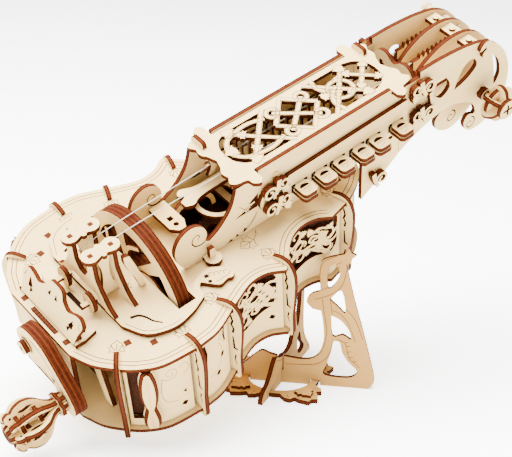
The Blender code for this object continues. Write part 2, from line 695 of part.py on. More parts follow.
def stand():
    """Two boards that cross in an X under the body, and the leaf ring round the crossing."""
    lap = STAND_LAP
    post = smooth([(lap, 18.4), (12.2, 17.3), (19.9, 18.2), (24.5, 22.0), (26.6, 28.0), (27.5, 34.8),
                   (26.2, 46.0), (25.0, 51.6)])
    loop = smooth([(19.5, 52.6), (15.6, 57.4), (18.5, 62.6), (24.2, 65.0)])
    hook = smooth([(23.3, 75.5), (23.6, 83.0), (26.4, 86.6), (31.5, 88.6), (38.6, 90.6)])
    leaf = [(40.9, 95.0), (42.6, 91.6), (46.0, 90.4), (43.4, 87.8), (42.6, 84.6), (39.6, 84.2)]
    foot = smooth([(46.2, 59.4), (53.4, 35.3), (60.4, 9.0), (59.6, 3.0), (57.0, 0.0)])
    holes = [smooth(points + [points[0]], 3)[:-1] for points in (
        [(28.7, 81.0), (28.2, 74.0), (29.2, 67.0), (33.4, 70.6), (36.0, 77.3), (33.4, 83.4)],
        [(30.4, 59.8), (37.6, 66.2), (40.6, 51.4), (35.6, 55.2)],
        [(31.4, 49.0), (37.4, 46.2), (42.8, 40.2), (44.8, 33.4), (39.4, 36.2), (33.0, 35.0)],
        [(33.6, 31.6), (37.6, 31.0), (39.6, 24.0), (44.0, 17.4), (49.2, 12.4), (48.4, 9.0),
         (43.7, 6.8), (32.8, 6.8), (27.6, 8.8), (29.4, 14.0), (32.4, 23.5)])]
    underside = ring_notch(-1) + ring_notch(1)
    near = post + loop + hook + leaf + foot + underside[::-1] + wing(46.0)[::-1]
    near += [(-lap, 9.0), (lap, 9.0)]
    placing = upright(*CROSSING, math.radians(BOARD_ANGLE["near"]))
    plate("stand_board_near", near, placing, holes=holes, colour=SHADED_BIRCH)

    clear = 0.9
    top = [(along, back_plate_height(along, "far") - clear) for along in (12.0, 43.0)]
    inner = smooth([(lap, 18.4), (9.0, 17.0), (17.0, 19.0), (21.3, 25.0), (20.0, 31.0),
                    (14.0, 37.0), (11.4, 44.0)])
    outer = smooth([(42.0, 58.0), (41.5, 32.0), (44.0, 18.0), (52.0, 8.0), (57.0, 3.0),
                    (57.0, 0.0)])
    eye = smooth([(19.0, 56.0), (31.0, 66.0), (36.0, 60.0), (35.0, 42.0), (31.0, 28.0),
                  (27.0, 30.0), (24.0, 40.0), (19.0, 46.0), (19.0, 56.0)], 3)[:-1]
    heel = smooth([(29.0, 18.0), (34.0, 22.0), (38.0, 14.0), (44.0, 8.0), (38.0, 5.5),
                   (31.0, 8.0), (29.0, 18.0)], 3)[:-1]
    slot = [(lap, 0.0), (lap, 9.4), (-lap, 9.4), (-lap, 0.0)]
    far = inner + top + outer + ring_notch(1)[::-1] + slot + ring_notch(-1)[::-1] + wing(38.0)[::-1]
    placing = upright(*CROSSING, math.radians(BOARD_ANGLE["far"]))
    plate("stand_board_far", far, placing, holes=(eye, heel), colour=SHADED_BIRCH)

    rim = []
    middle = (BOARD_ANGLE["near"] + BOARD_ANGLE["far"]) / 2
    for quarter in range(4):
        start = middle + 90 * quarter
        for turn, reach in LEAF_RIM:
            angle = math.radians(start + turn)
            rim.append((reach * math.cos(angle), reach * math.sin(angle)))
    placing = Matrix.Translation(Vector((*CROSSING, PLY / 2)) * MM)
    plate("stand_ring", rim, placing, holes=(circle(0, 0, RING_INNER, 24),), colour=SHADED_BIRCH)


clear_scene()
POSE = tipped()
PARTS = collection("hurdy_gurdy")
CUTTERS = collection("cutters")
soundboard_and_back()
ribs()
side_panels()
end_boards()
tail()
wheel_cradle()
trestle()
wheel_and_crank()
crank_handle()
keybox()
lid()
keys()
bridge()
head_plates()
tuning()
strings()
lay_on_stand()
stand()
turning = ("wheel", "drive_shaft", "crank_arm", "shaft_lock")
crank = pivot("crank_axis", (WHEEL_X, 0, AXLE_Z), turning)
pivot("handle_axis", (-161.5, *CRANK_PIN), ("crank_handle",), crank)
pivot("lid_axis", (0, *LID_HINGE), ("keybox_lid",))
pivot("tuner_near_axis", (TUNER_X, -WALL_Y, TUNER_Z), ("tuner_near",))
pivot("tuner_far_axis", (FAR_TUNER_X, WALL_Y, FAR_TUNER_Z), ("tuner_far",))
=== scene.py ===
"""The look of a laser-cut hurdy-gurdy on its stand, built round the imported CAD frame.

Sizes are in millimetres in the instrument's own level frame: x from the crank to the head,
y to the far side, z off the soundboard. LEVEL carries that frame onto the tipped instrument.
"""
import json
import math

import bmesh
import bpy
from mathutils import Matrix, Vector


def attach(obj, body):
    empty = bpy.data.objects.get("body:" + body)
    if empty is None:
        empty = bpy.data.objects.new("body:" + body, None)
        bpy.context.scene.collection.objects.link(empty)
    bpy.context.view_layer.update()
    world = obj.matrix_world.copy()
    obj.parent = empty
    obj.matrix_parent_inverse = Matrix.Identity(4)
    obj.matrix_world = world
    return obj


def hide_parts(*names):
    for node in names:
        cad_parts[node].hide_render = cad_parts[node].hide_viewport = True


MM = 0.001
PLY = 3.0                       # plywood thickness
TOP_Z = 189.0
BOTTOM_Z = 128.0
AXLE_Z = 178.0
WHEEL_X = -84.0
WALL_Y = 22.0
INNER_HEAD_Y = 8.0
LID_Z = 230.0
HANDLE_AXIS = (-34.2, 160.4)
HANDLE_RADIUS = 15.2
TUNER = (178.0, 184.5)
KEY_X = (17.5, 33.4, 48.0, 64.0, 77.6, 97.0)
KEY_HALF = 6.0
KEY_FRONT = -39.5

# The soundboard's far edge between the ribs, and the ribs themselves (x, y, lean in degrees).
BAYS = (
    ((-140.8, 55.6), (-132.5, 63.2), (-119.0, 70.2), (-97.0, 72.8)),
    ((-97.0, 72.8), (-81.0, 71.0), (-64.3, 63.6)),
    ((-64.3, 63.6), (-57.0, 60.3), (-44.6, 55.7), (-33.0, 56.3), (-22.9, 62.0)),
    ((-19.4, 59.6), (-13.0, 52.6), (-7.7, 47.4), (0.0, 42.8), (9.0, 41.0), (18.0, 42.6),
     (25.7, 47.6), (41.0, 44.0)),
)
RIBS = (("a", -140.8, 55.6, -36.0), ("b", -97.0, 72.8, 0.0), ("c", -64.3, 63.6, 21.0),
        ("d", -19.4, 59.6, 13.0), ("e", 41.0, 44.0, 13.0))
CROSSING = (8.975, -23.431)     # the stand's boards cross here, in the row frame
BOARD_ANGLE = {"near": -44.0, "far": 34.4}
SIDES = (("near", -1), ("far", 1))
MARK_LIFT = 0.04                # how far a mark stands off its surface
PANEL_PLY = 2.2
PANEL_LOW, PANEL_HIGH = 131.6, 185.5
CRADLE_TOP = 192.35

BIRCH = ((0.62, 0.435, 0.175), (0.45, 0.275, 0.088))
STAND_BIRCH = ((0.40, 0.222, 0.062), (0.30, 0.155, 0.038))
YELLOW_BIRCH = ((0.56, 0.36, 0.12), (0.44, 0.26, 0.07))
BURNT = ((0.020, 0.0030, 0.0007), (0.074, 0.0150, 0.0032))

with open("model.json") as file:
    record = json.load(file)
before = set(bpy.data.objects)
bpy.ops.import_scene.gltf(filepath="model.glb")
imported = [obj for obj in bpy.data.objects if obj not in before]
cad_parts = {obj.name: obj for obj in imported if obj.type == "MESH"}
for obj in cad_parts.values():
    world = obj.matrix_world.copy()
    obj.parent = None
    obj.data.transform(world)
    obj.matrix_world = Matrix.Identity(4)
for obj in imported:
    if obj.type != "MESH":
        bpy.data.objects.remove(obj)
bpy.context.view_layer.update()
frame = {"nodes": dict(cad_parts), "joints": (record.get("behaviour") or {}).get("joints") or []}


# ---------------------------------------------------------------- places

def joint(name):
    """The record of a joint."""
    return next(item for item in frame["joints"] if item["name"] == name)


def level_frame():
    """The instrument's own frame, from the crank's axis and the keys' travel."""
    along = Vector(joint("crank_spin")["axis"]).normalized()
    across = Vector(joint("key_1_press")["axis"]).normalized()
    turn = Matrix((along, across, along.cross(across))).transposed()
    wheel_centre = Vector((WHEEL_X, 0, AXLE_Z)) * MM
    origin = Vector(joint("crank_spin")["pos_m"]) - turn @ wheel_centre
    return Matrix.Translation(origin) @ turn.to_4x4()


LEVEL = level_frame()


def basis(across, up, origin):
    """A placing whose x and y run along the two directions."""
    matrix = Matrix((across, up, across.cross(up))).transposed().to_4x4()
    matrix.translation = Vector(origin) * MM
    return matrix


def flat(z):
    """Outline x, y along the instrument's x, y."""
    return LEVEL @ Matrix.Translation((0, 0, z * MM))


def lengthwise(y):
    """Outline x, y along the instrument's x, z; the plate's front looks to the near side."""
    return LEVEL @ basis(Vector((1, 0, 0)), Vector((0, 0, 1)), (0, y, 0))


def crosswise(x):
    """Outline x, y along the instrument's y, z."""
    return LEVEL @ basis(Vector((0, 1, 0)), Vector((0, 0, 1)), (x, 0, 0))


def upright(x, y, degrees):
    """A vertical plate through x, y that runs along a direction in plan."""
    angle = math.radians(degrees)
    across = Vector((math.cos(angle), math.sin(angle), 0))
    return basis(across, Vector((0, 0, 1)), (x, y, 0))


# ---------------------------------------------------------------- outlines

def smooth(points, steps=5):
    """A smooth open run through the points."""
    count = len(points)
    run = []
    for i in range(count - 1):
        p0, p1 = Vector(points[i]), Vector(points[i + 1])
        before = Vector(points[i - 1]) if i > 0 else p0 * 2 - p1
        after = Vector(points[i + 2]) if i + 2 < count else p1 * 2 - p0
        slope0, slope1 = (p1 - before) / 2, (after - p0) / 2
        for k in range(steps):
            t = k / steps
            h = (2 * t**3 - 3 * t**2 + 1, t**3 - 2 * t**2 + t, 3 * t**2 - 2 * t**3, t**3 - t**2)
            run.append(tuple(p0 * h[0] + slope0 * h[1] + p1 * h[2] + slope1 * h[3]))
    run.append(tuple(points[-1]))
    return run


def closed(points, steps=5):
    """A smooth closed loop through the points."""
    count = len(points)
    ring = [points[(i - 1) % count] for i in range(count + 3)]
    run = smooth(ring, steps)
    return run[steps:steps * (count + 1)]


def arc(cx, cy, radius, start, end, count):
    """Points along an arc, in degrees, both ends included."""
    angles = [math.radians(start + (end - start) * i / count) for i in range(count + 1)]
    return [(cx + radius * math.cos(a), cy + radius * math.sin(a)) for a in angles]


def circle(cx, cy, radius, count=20):
    """A closed ring of points."""
    return arc(cx, cy, radius, 0, 360, count)[:-1]


def box(x0, x1, y0, y1):
    """A rectangle between two x and two y."""
    return [(x0, y0), (x1, y0), (x1, y1), (x0, y1)]


def mirrored(half):
    """A closed outline from its upper half, mirrored about the x axis."""
    return half + [(x, -y) for x, y in reversed(half) if abs(y) > 1e-6]


def mirrored_about(half):
    """A closed outline from its right half, mirrored about the upright axis."""
    return half + [(-x, y) for x, y in reversed(half) if abs(x) > 1e-6]


def wavy_circle(cx, cy, radius, waves, depth, count):
    """A circle whose radius swells and shrinks by a share, a number of times round."""
    points = []
    for i in range(count):
        angle = math.radians(360 / count * i)
        reach = radius * (1 + depth * math.cos(waves * angle))
        points.append((cx + reach * math.cos(angle), cy + reach * math.sin(angle)))
    return points


def turned_square(cx, cy, size, degrees):
    """A square with one corner in the given direction."""
    return arc(cx, cy, size / math.sqrt(2), degrees, degrees + 360, 4)[:-1]


def shifted(points, dx, dy, degrees=0.0, scale=1.0):
    """The points turned and scaled about the origin, then moved."""
    c, s = math.cos(math.radians(degrees)) * scale, math.sin(math.radians(degrees)) * scale
    return [(dx + x * c - y * s, dy + x * s + y * c) for x, y in points]


def spiral(cx, cy, start, turns, radius, end_radius=0.4, count=26):
    """Points winding in to a centre."""
    points = []
    for i in range(count + 1):
        share = i / count
        reach = radius + (end_radius - radius) * share
        angle = math.radians(start + 360 * turns * share)
        points.append((cx + reach * math.cos(angle), cy + reach * math.sin(angle)))
    return points


def strap(points, width, taper=1.0):
    """The outline of a band of the given width along an open run."""
    left, right = [], []
    count = len(points)
    for i, point in enumerate(points):
        before, after = Vector(points[max(i - 1, 0)]), Vector(points[min(i + 1, count - 1)])
        along = (after - before).normalized()
        half = width / 2 * (1 + (taper - 1) * i / (count - 1))
        left.append((point[0] - along.y * half, point[1] + along.x * half))
        right.append((point[0] + along.y * half, point[1] - along.x * half))
    return left + right[::-1]


def quads(band):
    """A strap's outline cut into four-cornered faces."""
    last = len(band) - 1
    return [[band[i], band[i + 1], band[last - 1 - i], band[last - i]] for i in range(len(band) // 2 - 1)]


def leaf(cx, cy, size, degrees):
    """An ivy leaf, its stem at cx, cy and its tip along the given direction."""
    half = [(0.0, 0.10), (0.10, 0.34), (0.02, 0.50), (0.30, 0.42), (0.42, 0.56), (0.50, 0.30),
            (0.66, 0.36), (0.78, 0.16), (1.0, 0.0)]
    return shifted(mirrored(half), cx, cy, degrees, size)


# ---------------------------------------------------------------- materials

def add(tree, kind, inputs=None, **settings):
    """A node with its settings made and its inputs set or linked."""
    made = tree.nodes.new(kind)
    for key, value in settings.items():
        setattr(made, key, value)
    for key, value in (inputs or {}).items():
        if isinstance(value, bpy.types.NodeSocket):
            tree.links.new(value, made.inputs[key])
        else:
            made.inputs[key].default_value = value
    return made


def math_node(tree, operation, a, b=0.0):
    """One sum, product or the like of two values."""
    return add(tree, "ShaderNodeMath", {0: a, 1: b}, operation=operation).outputs[0]


def ramp(tree, value, low, high, start=0.0, end=1.0):
    """A value spread from one range onto another."""
    inputs = {"Value": value, "From Min": low, "From Max": high, "To Min": start, "To Max": end}
    return add(tree, "ShaderNodeMapRange", inputs).outputs[0]


def blend_colours(tree, share, first, second):
    """The first colour, giving way to the second by a share."""
    inputs = {"Fac": share, "Color1": first, "Color2": second}
    return add(tree, "ShaderNodeMixRGB", inputs, blend_type="MIX").outputs[0]


def rgba(colour):
    """An opaque colour."""
    return (*colour, 1.0)


def noise(tree, u, v, w, scales, detail=3.0):
    """Noise stretched differently along each direction."""
    parts = {"XYZ"[i]: math_node(tree, "MULTIPLY", part, scales[i]) for i, part in enumerate((u, v, w))}
    vector = add(tree, "ShaderNodeCombineXYZ", parts).outputs[0]
    inputs = {"Vector": vector, "Scale": 1.0, "Detail": detail, "Roughness": 0.6}
    return add(tree, "ShaderNodeTexNoise", inputs).outputs[0]


def veneer_colour(tree, u, v, w, face):
    """Birch veneer. u runs along the grain."""
    light, dark = face
    streaks = ramp(tree, noise(tree, u, v, w, (38.0, 620.0, 60.0), 5.0), 0.36, 0.70)
    clouds = ramp(tree, noise(tree, u, v, w, (18.0, 34.0, 18.0)), 0.35, 0.68)
    flecks = ramp(tree, noise(tree, u, v, w, (260.0, 3400.0, 90.0), 2.0), 0.66, 0.74, 0.0, 0.5)
    share = math_node(tree, "ADD", math_node(tree, "MULTIPLY", streaks, 0.26),
                      math_node(tree, "MULTIPLY", clouds, 0.20))
    veneer = blend_colours(tree, share, rgba(light), rgba(dark))
    return blend_colours(tree, flecks, veneer, rgba(tuple(c * 0.72 for c in dark)))


def burnt_colour(tree, u, v, w):
    """The laser-cut edge: charred, with the plywood's paler middle layer showing."""
    layer = math_node(tree, "FRACT", math_node(tree, "ADD", math_node(tree, "DIVIDE", w, PLY * MM), 10.5))
    off_middle = math_node(tree, "ABSOLUTE", math_node(tree, "SUBTRACT", layer, 0.5))
    core = ramp(tree, off_middle, 0.14, 0.22, 0.55, 0.0)
    scorch = ramp(tree, noise(tree, u, v, w, (420.0, 420.0, 900.0)), 0.32, 0.72)
    share = math_node(tree, "ADD", math_node(tree, "MULTIPLY", scorch, 0.42), core)
    return blend_colours(tree, share, rgba(BURNT[0]), rgba(BURNT[1]))


def new_material(name):
    """A dull material and its node tree."""
    material = bpy.data.materials.new(name)
    material.use_nodes = True
    material.node_tree.nodes["Principled BSDF"].inputs["Specular IOR Level"].default_value = 0.03
    return material, material.node_tree


def cut_material(name, placing, face, grain_along_y=False):
    """Plywood for a CAD plate: the plate's plane tells faces from laser-cut edges."""
    material, tree = new_material(name)
    axes = placing.to_3x3().transposed()
    rows = [axes[1], axes[0]] if grain_along_y else [axes[0], axes[1]]
    place = add(tree, "ShaderNodeTexCoord")
    parts = []
    for axis in (*rows, axes[2]):
        dot = add(tree, "ShaderNodeVectorMath", {0: place.outputs["Object"], 1: tuple(axis)},
                  operation="DOT_PRODUCT")
        parts.append(dot.outputs["Value"])
    middle = axes[2].dot(placing.translation)
    parts[2] = math_node(tree, "SUBTRACT", parts[2], middle)
    facing = add(tree, "ShaderNodeVectorMath", {0: place.outputs["Normal"], 1: tuple(axes[2])},
                 operation="DOT_PRODUCT").outputs["Value"]
    edge = ramp(tree, math_node(tree, "ABSOLUTE", facing), 0.45, 0.75, 1.0, 0.0)
    colour = blend_colours(tree, edge, veneer_colour(tree, *parts, face), burnt_colour(tree, *parts))
    shader = tree.nodes["Principled BSDF"]
    tree.links.new(colour, shader.inputs["Base Color"])
    tree.links.new(ramp(tree, edge, 0.0, 1.0, 0.56, 0.80), shader.inputs["Roughness"])
    return material


def board_material(name, face, cut_edge):
    """Plywood for a board made here: its UV map holds the place on the board."""
    material, tree = new_material(name)
    place = add(tree, "ShaderNodeSeparateXYZ",
                {0: add(tree, "ShaderNodeUVMap", uv_map="plate").outputs[0]})
    along, across = place.outputs[0], place.outputs[1]
    if cut_edge:
        colour = burnt_colour(tree, along, across, across)
    else:
        colour = veneer_colour(tree, along, across, math_node(tree, "MULTIPLY", across, 0.1), face)
    shader = tree.nodes["Principled BSDF"]
    tree.links.new(colour, shader.inputs["Base Color"])
    shader.inputs["Roughness"].default_value = 0.80 if cut_edge else 0.56
    return material


def plain_material(name, colour, roughness, fine=900.0, contrast=0.25):
    """A stained or charred surface with fine mottling."""
    material, tree = new_material(name)
    place = add(tree, "ShaderNodeTexCoord").outputs["Object"]
    mottle = add(tree, "ShaderNodeTexNoise", {"Vector": place, "Scale": fine, "Detail": 3.0}).outputs[0]
    darker = tuple(c * (1 - contrast * 2) for c in colour)
    shade = blend_colours(tree, ramp(tree, mottle, 0.35, 0.7), rgba(colour), rgba(darker))
    shader = tree.nodes["Principled BSDF"]
    tree.links.new(shade, shader.inputs["Base Color"])
    shader.inputs["Roughness"].default_value = roughness
    return material


FACES = {"birch": BIRCH, "stand": STAND_BIRCH, "yellow": YELLOW_BIRCH}
BOARD = {key: (board_material(key + "_face", face, False), board_material(key + "_cut_edge", face, True))
         for key, face in FACES.items()}
ENGRAVED = plain_material("engraved_line", (0.052, 0.0165, 0.0042), 0.8)
CHARRED = plain_material("charred_slot", (0.016, 0.0045, 0.0022), 0.85)
TAB_END = plain_material("burnt_tab_end", (0.070, 0.0165, 0.0050), 0.8, 1500.0)
THREAD = plain_material("white_thread", (0.46, 0.41, 0.32), 0.7, 3000.0, 0.12)
ROD = plain_material("turned_birch", (0.60, 0.43, 0.23), 0.6, 500.0, 0.12)
# A near-black brown for boards and parts inside the body: painted shade of the dark interior.
INSIDE_SHADE = plain_material("painted_inside_shade", (0.040, 0.014, 0.0065), 0.85, 700.0)


# ---------------------------------------------------------------- pieces

def filled(outline, holes, thickness):
    """A flat board's closed mesh in its own plane, in metres."""
    curve = bpy.data.curves.new("outline", "CURVE")
    curve.dimensions = "2D"
    curve.fill_mode = "BOTH"
    curve.extrude = thickness * MM / 2
    for loop in (outline, *holes):
        spline = curve.splines.new("POLY")
        spline.points.add(len(loop) - 1)
        for point, (x, y) in zip(spline.points, loop):
            point.co = (x * MM, y * MM, 0, 1)
        spline.use_cyclic_u = True
    holder = bpy.data.objects.new("outline", curve)
    mesh = bpy.data.meshes.new_from_object(holder)
    bpy.data.objects.remove(holder)
    bpy.data.curves.remove(curve)
    return mesh


def paint(form):
    """Sorts a flat board's faces into veneer and cut edge, and maps each."""
    layer = form.loops.layers.uv.new("plate")
    for face in form.faces:
        flat_face = abs(face.normal.z) > 0.5
        face.material_index = 0 if flat_face else 1
        for corner in face.loops:
            x, y, z = corner.vert.co
            corner[layer].uv = (x, y) if flat_face else (x + y, z)


def placed(name, data, placing):
    """A new object in the scene, at its place."""
    item = bpy.data.objects.new(name, data)
    bpy.context.scene.collection.objects.link(item)
    item.matrix_world = placing
    return item


def mesh_of(form, name):
    """The bmesh as a mesh, and the bmesh freed."""
    mesh = bpy.data.meshes.new(name)
    form.to_mesh(mesh)
    form.free()
    return mesh


def piece(name, mesh, placing, body, wood="birch"):
    """A plywood piece that rides a body."""
    item = placed(name, mesh, placing)
    for material in BOARD[wood]:
        mesh.materials.append(material)
    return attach(item, body)


def darken_as_shade(item, slots=(0, 1)):
    """Paints a board with the painted shade of the dark inside, on its faces and perhaps its edges."""
    for slot in slots:
        item.data.materials[slot] = INSIDE_SHADE


def cut_stack(cuts, thickness):
    """Boards in one plane or stacked over it, as one bmesh: (outline, holes, lift) each."""
    form = bmesh.new()
    for outline, holes, lift in cuts:
        part = filled(outline, holes, thickness)
        part.transform(Matrix.Translation((0, 0, lift * MM)))
        form.from_mesh(part)
        bpy.data.meshes.remove(part)
    return form


def board(name, outline, placing, thickness=PLY, holes=(), body="instrument", wood="birch"):
    """A laser-cut board."""
    return boards(name, [(outline, holes, 0.0)], placing, thickness, body, wood)


def boards(name, cuts, placing, thickness=PLY, body="instrument", wood="birch"):
    """Several boards in one plane or stacked over it, as one piece."""
    form = cut_stack(cuts, thickness)
    form.normal_update()
    paint(form)
    return piece(name, mesh_of(form, name), placing, body, wood)


def bent_boards(name, run, side, cuts, thickness, step=2.5):
    """Boards bent along a run in plan: outline x is the way along the run, y the height."""
    form = cut_stack(cuts, thickness)
    longest = max(x for outline, _, _ in cuts for x, _ in outline)
    for i in range(1, int(longest / step) + 1):
        parts = form.verts[:] + form.edges[:] + form.faces[:]
        bmesh.ops.bisect_plane(form, geom=parts, plane_co=(i * step * MM, 0, 0), plane_no=(1, 0, 0))
    form.normal_update()
    paint(form)
    for vert in form.verts:
        vert.co = bent(run, side, *(vert.co / MM)) * MM
    if side < 0:
        bmesh.ops.reverse_faces(form, faces=form.faces)
    return piece(name, mesh_of(form, name), LEVEL, "instrument")


def bent(run, side, way, height, depth):
    """A point of a bent board: way along the run, height, and depth out from it."""
    left = way
    for first, second in zip(run, run[1:]):
        a, b = Vector(first), Vector(second)
        length = (b - a).length
        if left <= length or second == run[-1]:
            along = (b - a).normalized()
            place = a + along * left + Vector((-along.y, along.x)) * depth
            return Vector((place.x, side * place.y, height))
        left -= length


def marked(name, form, placing, material, body):
    """A thin mark of one material that rides a body."""
    mesh = mesh_of(form, name)
    mesh.materials.append(material)
    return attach(placed(name, mesh, placing), body)


def flat_faces(name, faces, placing, material=None, body="instrument", lift=MARK_LIFT):
    """Thin marks just off a surface, each a list of corners in the plane of placing."""
    form = bmesh.new()
    for corners in faces:
        form.faces.new([form.verts.new((x * MM, y * MM, lift * MM)) for x, y in corners])
    return marked(name, form, placing, material or CHARRED, body)


def mark_both_faces(name, faces, placing, labels=("front", "back"), body="instrument",
                    depth=PLY / 2 + MARK_LIFT):
    """The same openings burnt through a board: the first label is the side placing looks to."""
    flat_faces(f"{name}_{labels[0]}", faces, placing, CHARRED, body, depth)
    flat_faces(f"{name}_{labels[1]}", [corners[::-1] for corners in faces], placing, CHARRED, body, -depth)


def engrave(name, runs, placing, body="instrument", width=0.35, lift=MARK_LIFT):
    """Engraved lines: each run of points becomes a thin ribbon on the surface."""
    faces = [face for run in runs for face in quads(strap(run, width))]
    return flat_faces(name, faces, placing, ENGRAVED, body, lift)


def loops_of(node, placing, offset):
    """A CAD plate's outline loops on one face, in its own plane, longest first."""
    inverse = placing.inverted()
    links = {}
    counts = {}
    for polygon in frame["nodes"][node].data.polygons:
        corners = [inverse @ frame["nodes"][node].data.vertices[i].co / MM for i in polygon.vertices]
        if any(abs(c.z - offset) > 0.05 for c in corners):
            continue
        keys = [(round(c.x, 2), round(c.y, 2)) for c in corners]
        for a, b in zip(keys, keys[1:] + keys[:1]):
            counts[frozenset((a, b))] = counts.get(frozenset((a, b)), 0) + 1
            links[(a, b)] = True
    following = {a: b for a, b in links if counts[frozenset((a, b))] == 1}
    loops = []
    while following:
        start = next(iter(following))
        loop = [start]
        point = following.pop(start)
        while point != start and point in following:
            loop.append(point)
            point = following.pop(point)
        loops.append(loop)
    return sorted(loops, key=lambda loop: -perimeter(loop))


def perimeter(loop):
    """The length round a closed loop."""
    return sum((Vector(a) - Vector(b)).length for a, b in zip(loop, loop[1:] + loop[:1]))


def inset(loop, distance):
    """A closed loop moved inward, with its tight corners left out, as an open run that closes."""
    count = len(loop)
    moved = []
    for i, point in enumerate(loop):
        here = Vector(point)
        first = (here - Vector(loop[i - 1])).normalized()
        second = (Vector(loop[(i + 1) % count]) - here).normalized()
        normal = Vector((-first.y - second.y, first.x + second.x))
        if normal.length < 0.8:
            continue
        normal.normalize()
        moved.append(tuple(here + normal * distance / max(0.6, normal.dot(Vector((-first.y, first.x))))))
    kept = [p for p in moved if nearest(p, loop) > distance * 0.93]
    return kept + kept[:1]


def nearest(point, loop):
    """The distance from a point to a closed loop."""
    best = 1e9
    p = Vector(point)
    for a, b in zip(loop, loop[1:] + loop[:1]):
        start, run = Vector(a), Vector(b) - Vector(a)
        share = max(0.0, min(1.0, (p - start).dot(run) / max(run.length_squared, 1e-9)))
        best = min(best, (p - start - run * share).length)
    return best


def split(run, longest=9.0):
    """A run cut wherever two neighbours are far apart."""
    pieces_found, current = [], [run[0]]
    for a, b in zip(run, run[1:]):
        if (Vector(b) - Vector(a)).length > longest:
            pieces_found.append(current)
            current = []
        current.append(b)
    pieces_found.append(current)
    return [item for item in pieces_found if len(item) > 1]


def coat(node, material):
    """One material all over a CAD node."""
    slots = frame["nodes"][node].data.materials
    for i in range(len(slots)):
        slots[i] = material


def dress(node, placing, wood="birch", grain_along_y=False):
    """Plywood on a CAD plate that keeps its shape."""
    coat(node, cut_material(node + "_plywood", placing, FACES[wood], grain_along_y))


# ---------------------------------------------------------------- the CAD plates kept

def rib_place(label, sign):
    """The middle plane of a rib on one side."""
    _, x, y, lean = next(rib for rib in RIBS if rib[0] == label)
    return LEVEL @ upright(x, sign * y, sign * (90 - lean))


def stand_place(side):
    """The middle plane of a stand board."""
    return upright(*CROSSING, BOARD_ANGLE[side])


def crest_place():
    """The middle plane of the crest at the crank end, which leans to the head."""
    lean = math.radians(25)
    up = Vector((math.sin(lean), 0, math.cos(lean)))
    return LEVEL @ basis(Vector((0, 1, 0)), up, (-148.5, 0, TOP_Z + 1.1))


def ring_place(z):
    """Level over the line where the stand's boards cross."""
    return Matrix.Translation((CROSSING[0] * MM, CROSSING[1] * MM, z * MM))


def dress_frame():
    """Materials for every CAD node, those that are replaced included."""
    dress("soundboard", flat(TOP_Z - PLY / 2))
    dress("back_plate", flat(BOTTOM_Z + PLY / 2))
    for label, *_ in RIBS:
        for side, sign in SIDES:
            dress(f"rib_{label}_{side}", rib_place(label, sign), grain_along_y=True)
    for node, x in (("crank_end_board", -152.6), ("wheel_bearing", -70.0), ("head_end_board", 66.0),
                    ("trestle_rear", -121.0), ("trestle_front", -107.0), ("wheel", WHEEL_X),
                    ("crank_arm", -161.5)):
        dress(node, crosswise(x))
    dress("tail_crest", crest_place())
    for node, z in (("wheel_cradle", 190.85), ("head_cross_board", 224.0), ("head_floor", 210.0),
                    ("string_cap_near", 228.35), ("string_cap_far", 228.35)):
        dress(node, flat(z))
    dress("string_bridge", flat(201.5), "yellow")
    for node, y in (("keybox_near_wall", -WALL_Y), ("keybox_far_wall", WALL_Y), ("key_guide", -25.35),
                    ("head_near_plate", -WALL_Y), ("head_far_plate", WALL_Y), ("rack_near", 0.0),
                    ("head_inner_plate_near", -INNER_HEAD_Y), ("head_inner_plate_far", INNER_HEAD_Y),
                    ("rack_far", 15.0)):
        dress(node, lengthwise(y))
    for side, _ in SIDES:
        dress("stand_board_" + side, stand_place(side), "stand")
        coat("string_" + side, THREAD)
    dress("stand_ring", ring_place(PLY / 2), "stand")
    for node in ("drive_shaft", "tuner_far", "tuner_near", "shaft_lock", "crank_handle"):
        coat(node, ROD)


# ---------------------------------------------------------------- camera, floor and light

def camera():
    """The viewpoint, held in the instrument's level frame."""
    heading, dip, roll = math.radians(52.75), math.radians(47.31), math.radians(-2.95)
    ahead = math.cos(dip)
    forward = Vector((ahead * math.cos(heading), ahead * math.sin(heading), -math.sin(dip)))
    level = Vector((math.sin(heading), -math.cos(heading), 0))
    right = level * math.cos(roll) + level.cross(forward) * math.sin(roll)
    data = bpy.data.cameras.new("view")
    data.lens = 96.0
    data.sensor_fit = "HORIZONTAL"
    data.sensor_width = 36.0
    data.clip_start = 0.01
    turn = Matrix((right, right.cross(forward), -forward)).transposed().to_4x4()
    place = Matrix.Translation(Vector((-353.5, -469.3, 794.4)) * MM)
    bpy.context.scene.camera = placed("view", data, LEVEL @ place @ turn)


def floor():
    """A wide pale floor."""
    mesh = bpy.data.meshes.new("floor")
    reach = 6.0
    corners = [(x, y, 0) for x, y in box(-reach, reach, -reach, reach)]
    mesh.from_pydata(corners, [], [(0, 1, 2, 3)])
    material, tree = new_material("pale_floor")
    shader = tree.nodes["Principled BSDF"]
    shader.inputs["Base Color"].default_value = (0.93, 0.93, 0.93, 1.0)
    shader.inputs["Roughness"].default_value = 0.9
    shader.inputs["Emission Color"].default_value = (1.0, 1.0, 1.0, 1.0)
    shader.inputs["Emission Strength"].default_value = 1.9
    mesh.materials.append(material)
    placed("floor", mesh, Matrix())


def soft_light(name, place, size, power):
    """A square light that looks at the object."""
    data = bpy.data.lights.new(name, "AREA")
    data.shape = "SQUARE"
    data.size = size
    data.energy = power
    aim = (-Vector(place)).to_track_quat("-Z", "Y").to_matrix().to_4x4()
    placed(name, data, Matrix.Translation(place) @ aim)


def studio():
    """An even pale surround and two soft lights."""
    world = bpy.data.worlds.new("studio")
    world.use_nodes = True
    background = world.node_tree.nodes["Background"]
    background.inputs["Color"].default_value = (1.0, 1.0, 1.0, 1.0)
    background.inputs["Strength"].default_value = 1.0
    bpy.context.scene.world = world
    soft_light("key", (-0.25, 0.15, 1.3), 1.3, 215.0)
    soft_light("fill", (0.7, -1.3, 0.7), 1.0, 5.0)


# ---------------------------------------------------------------- the body's details

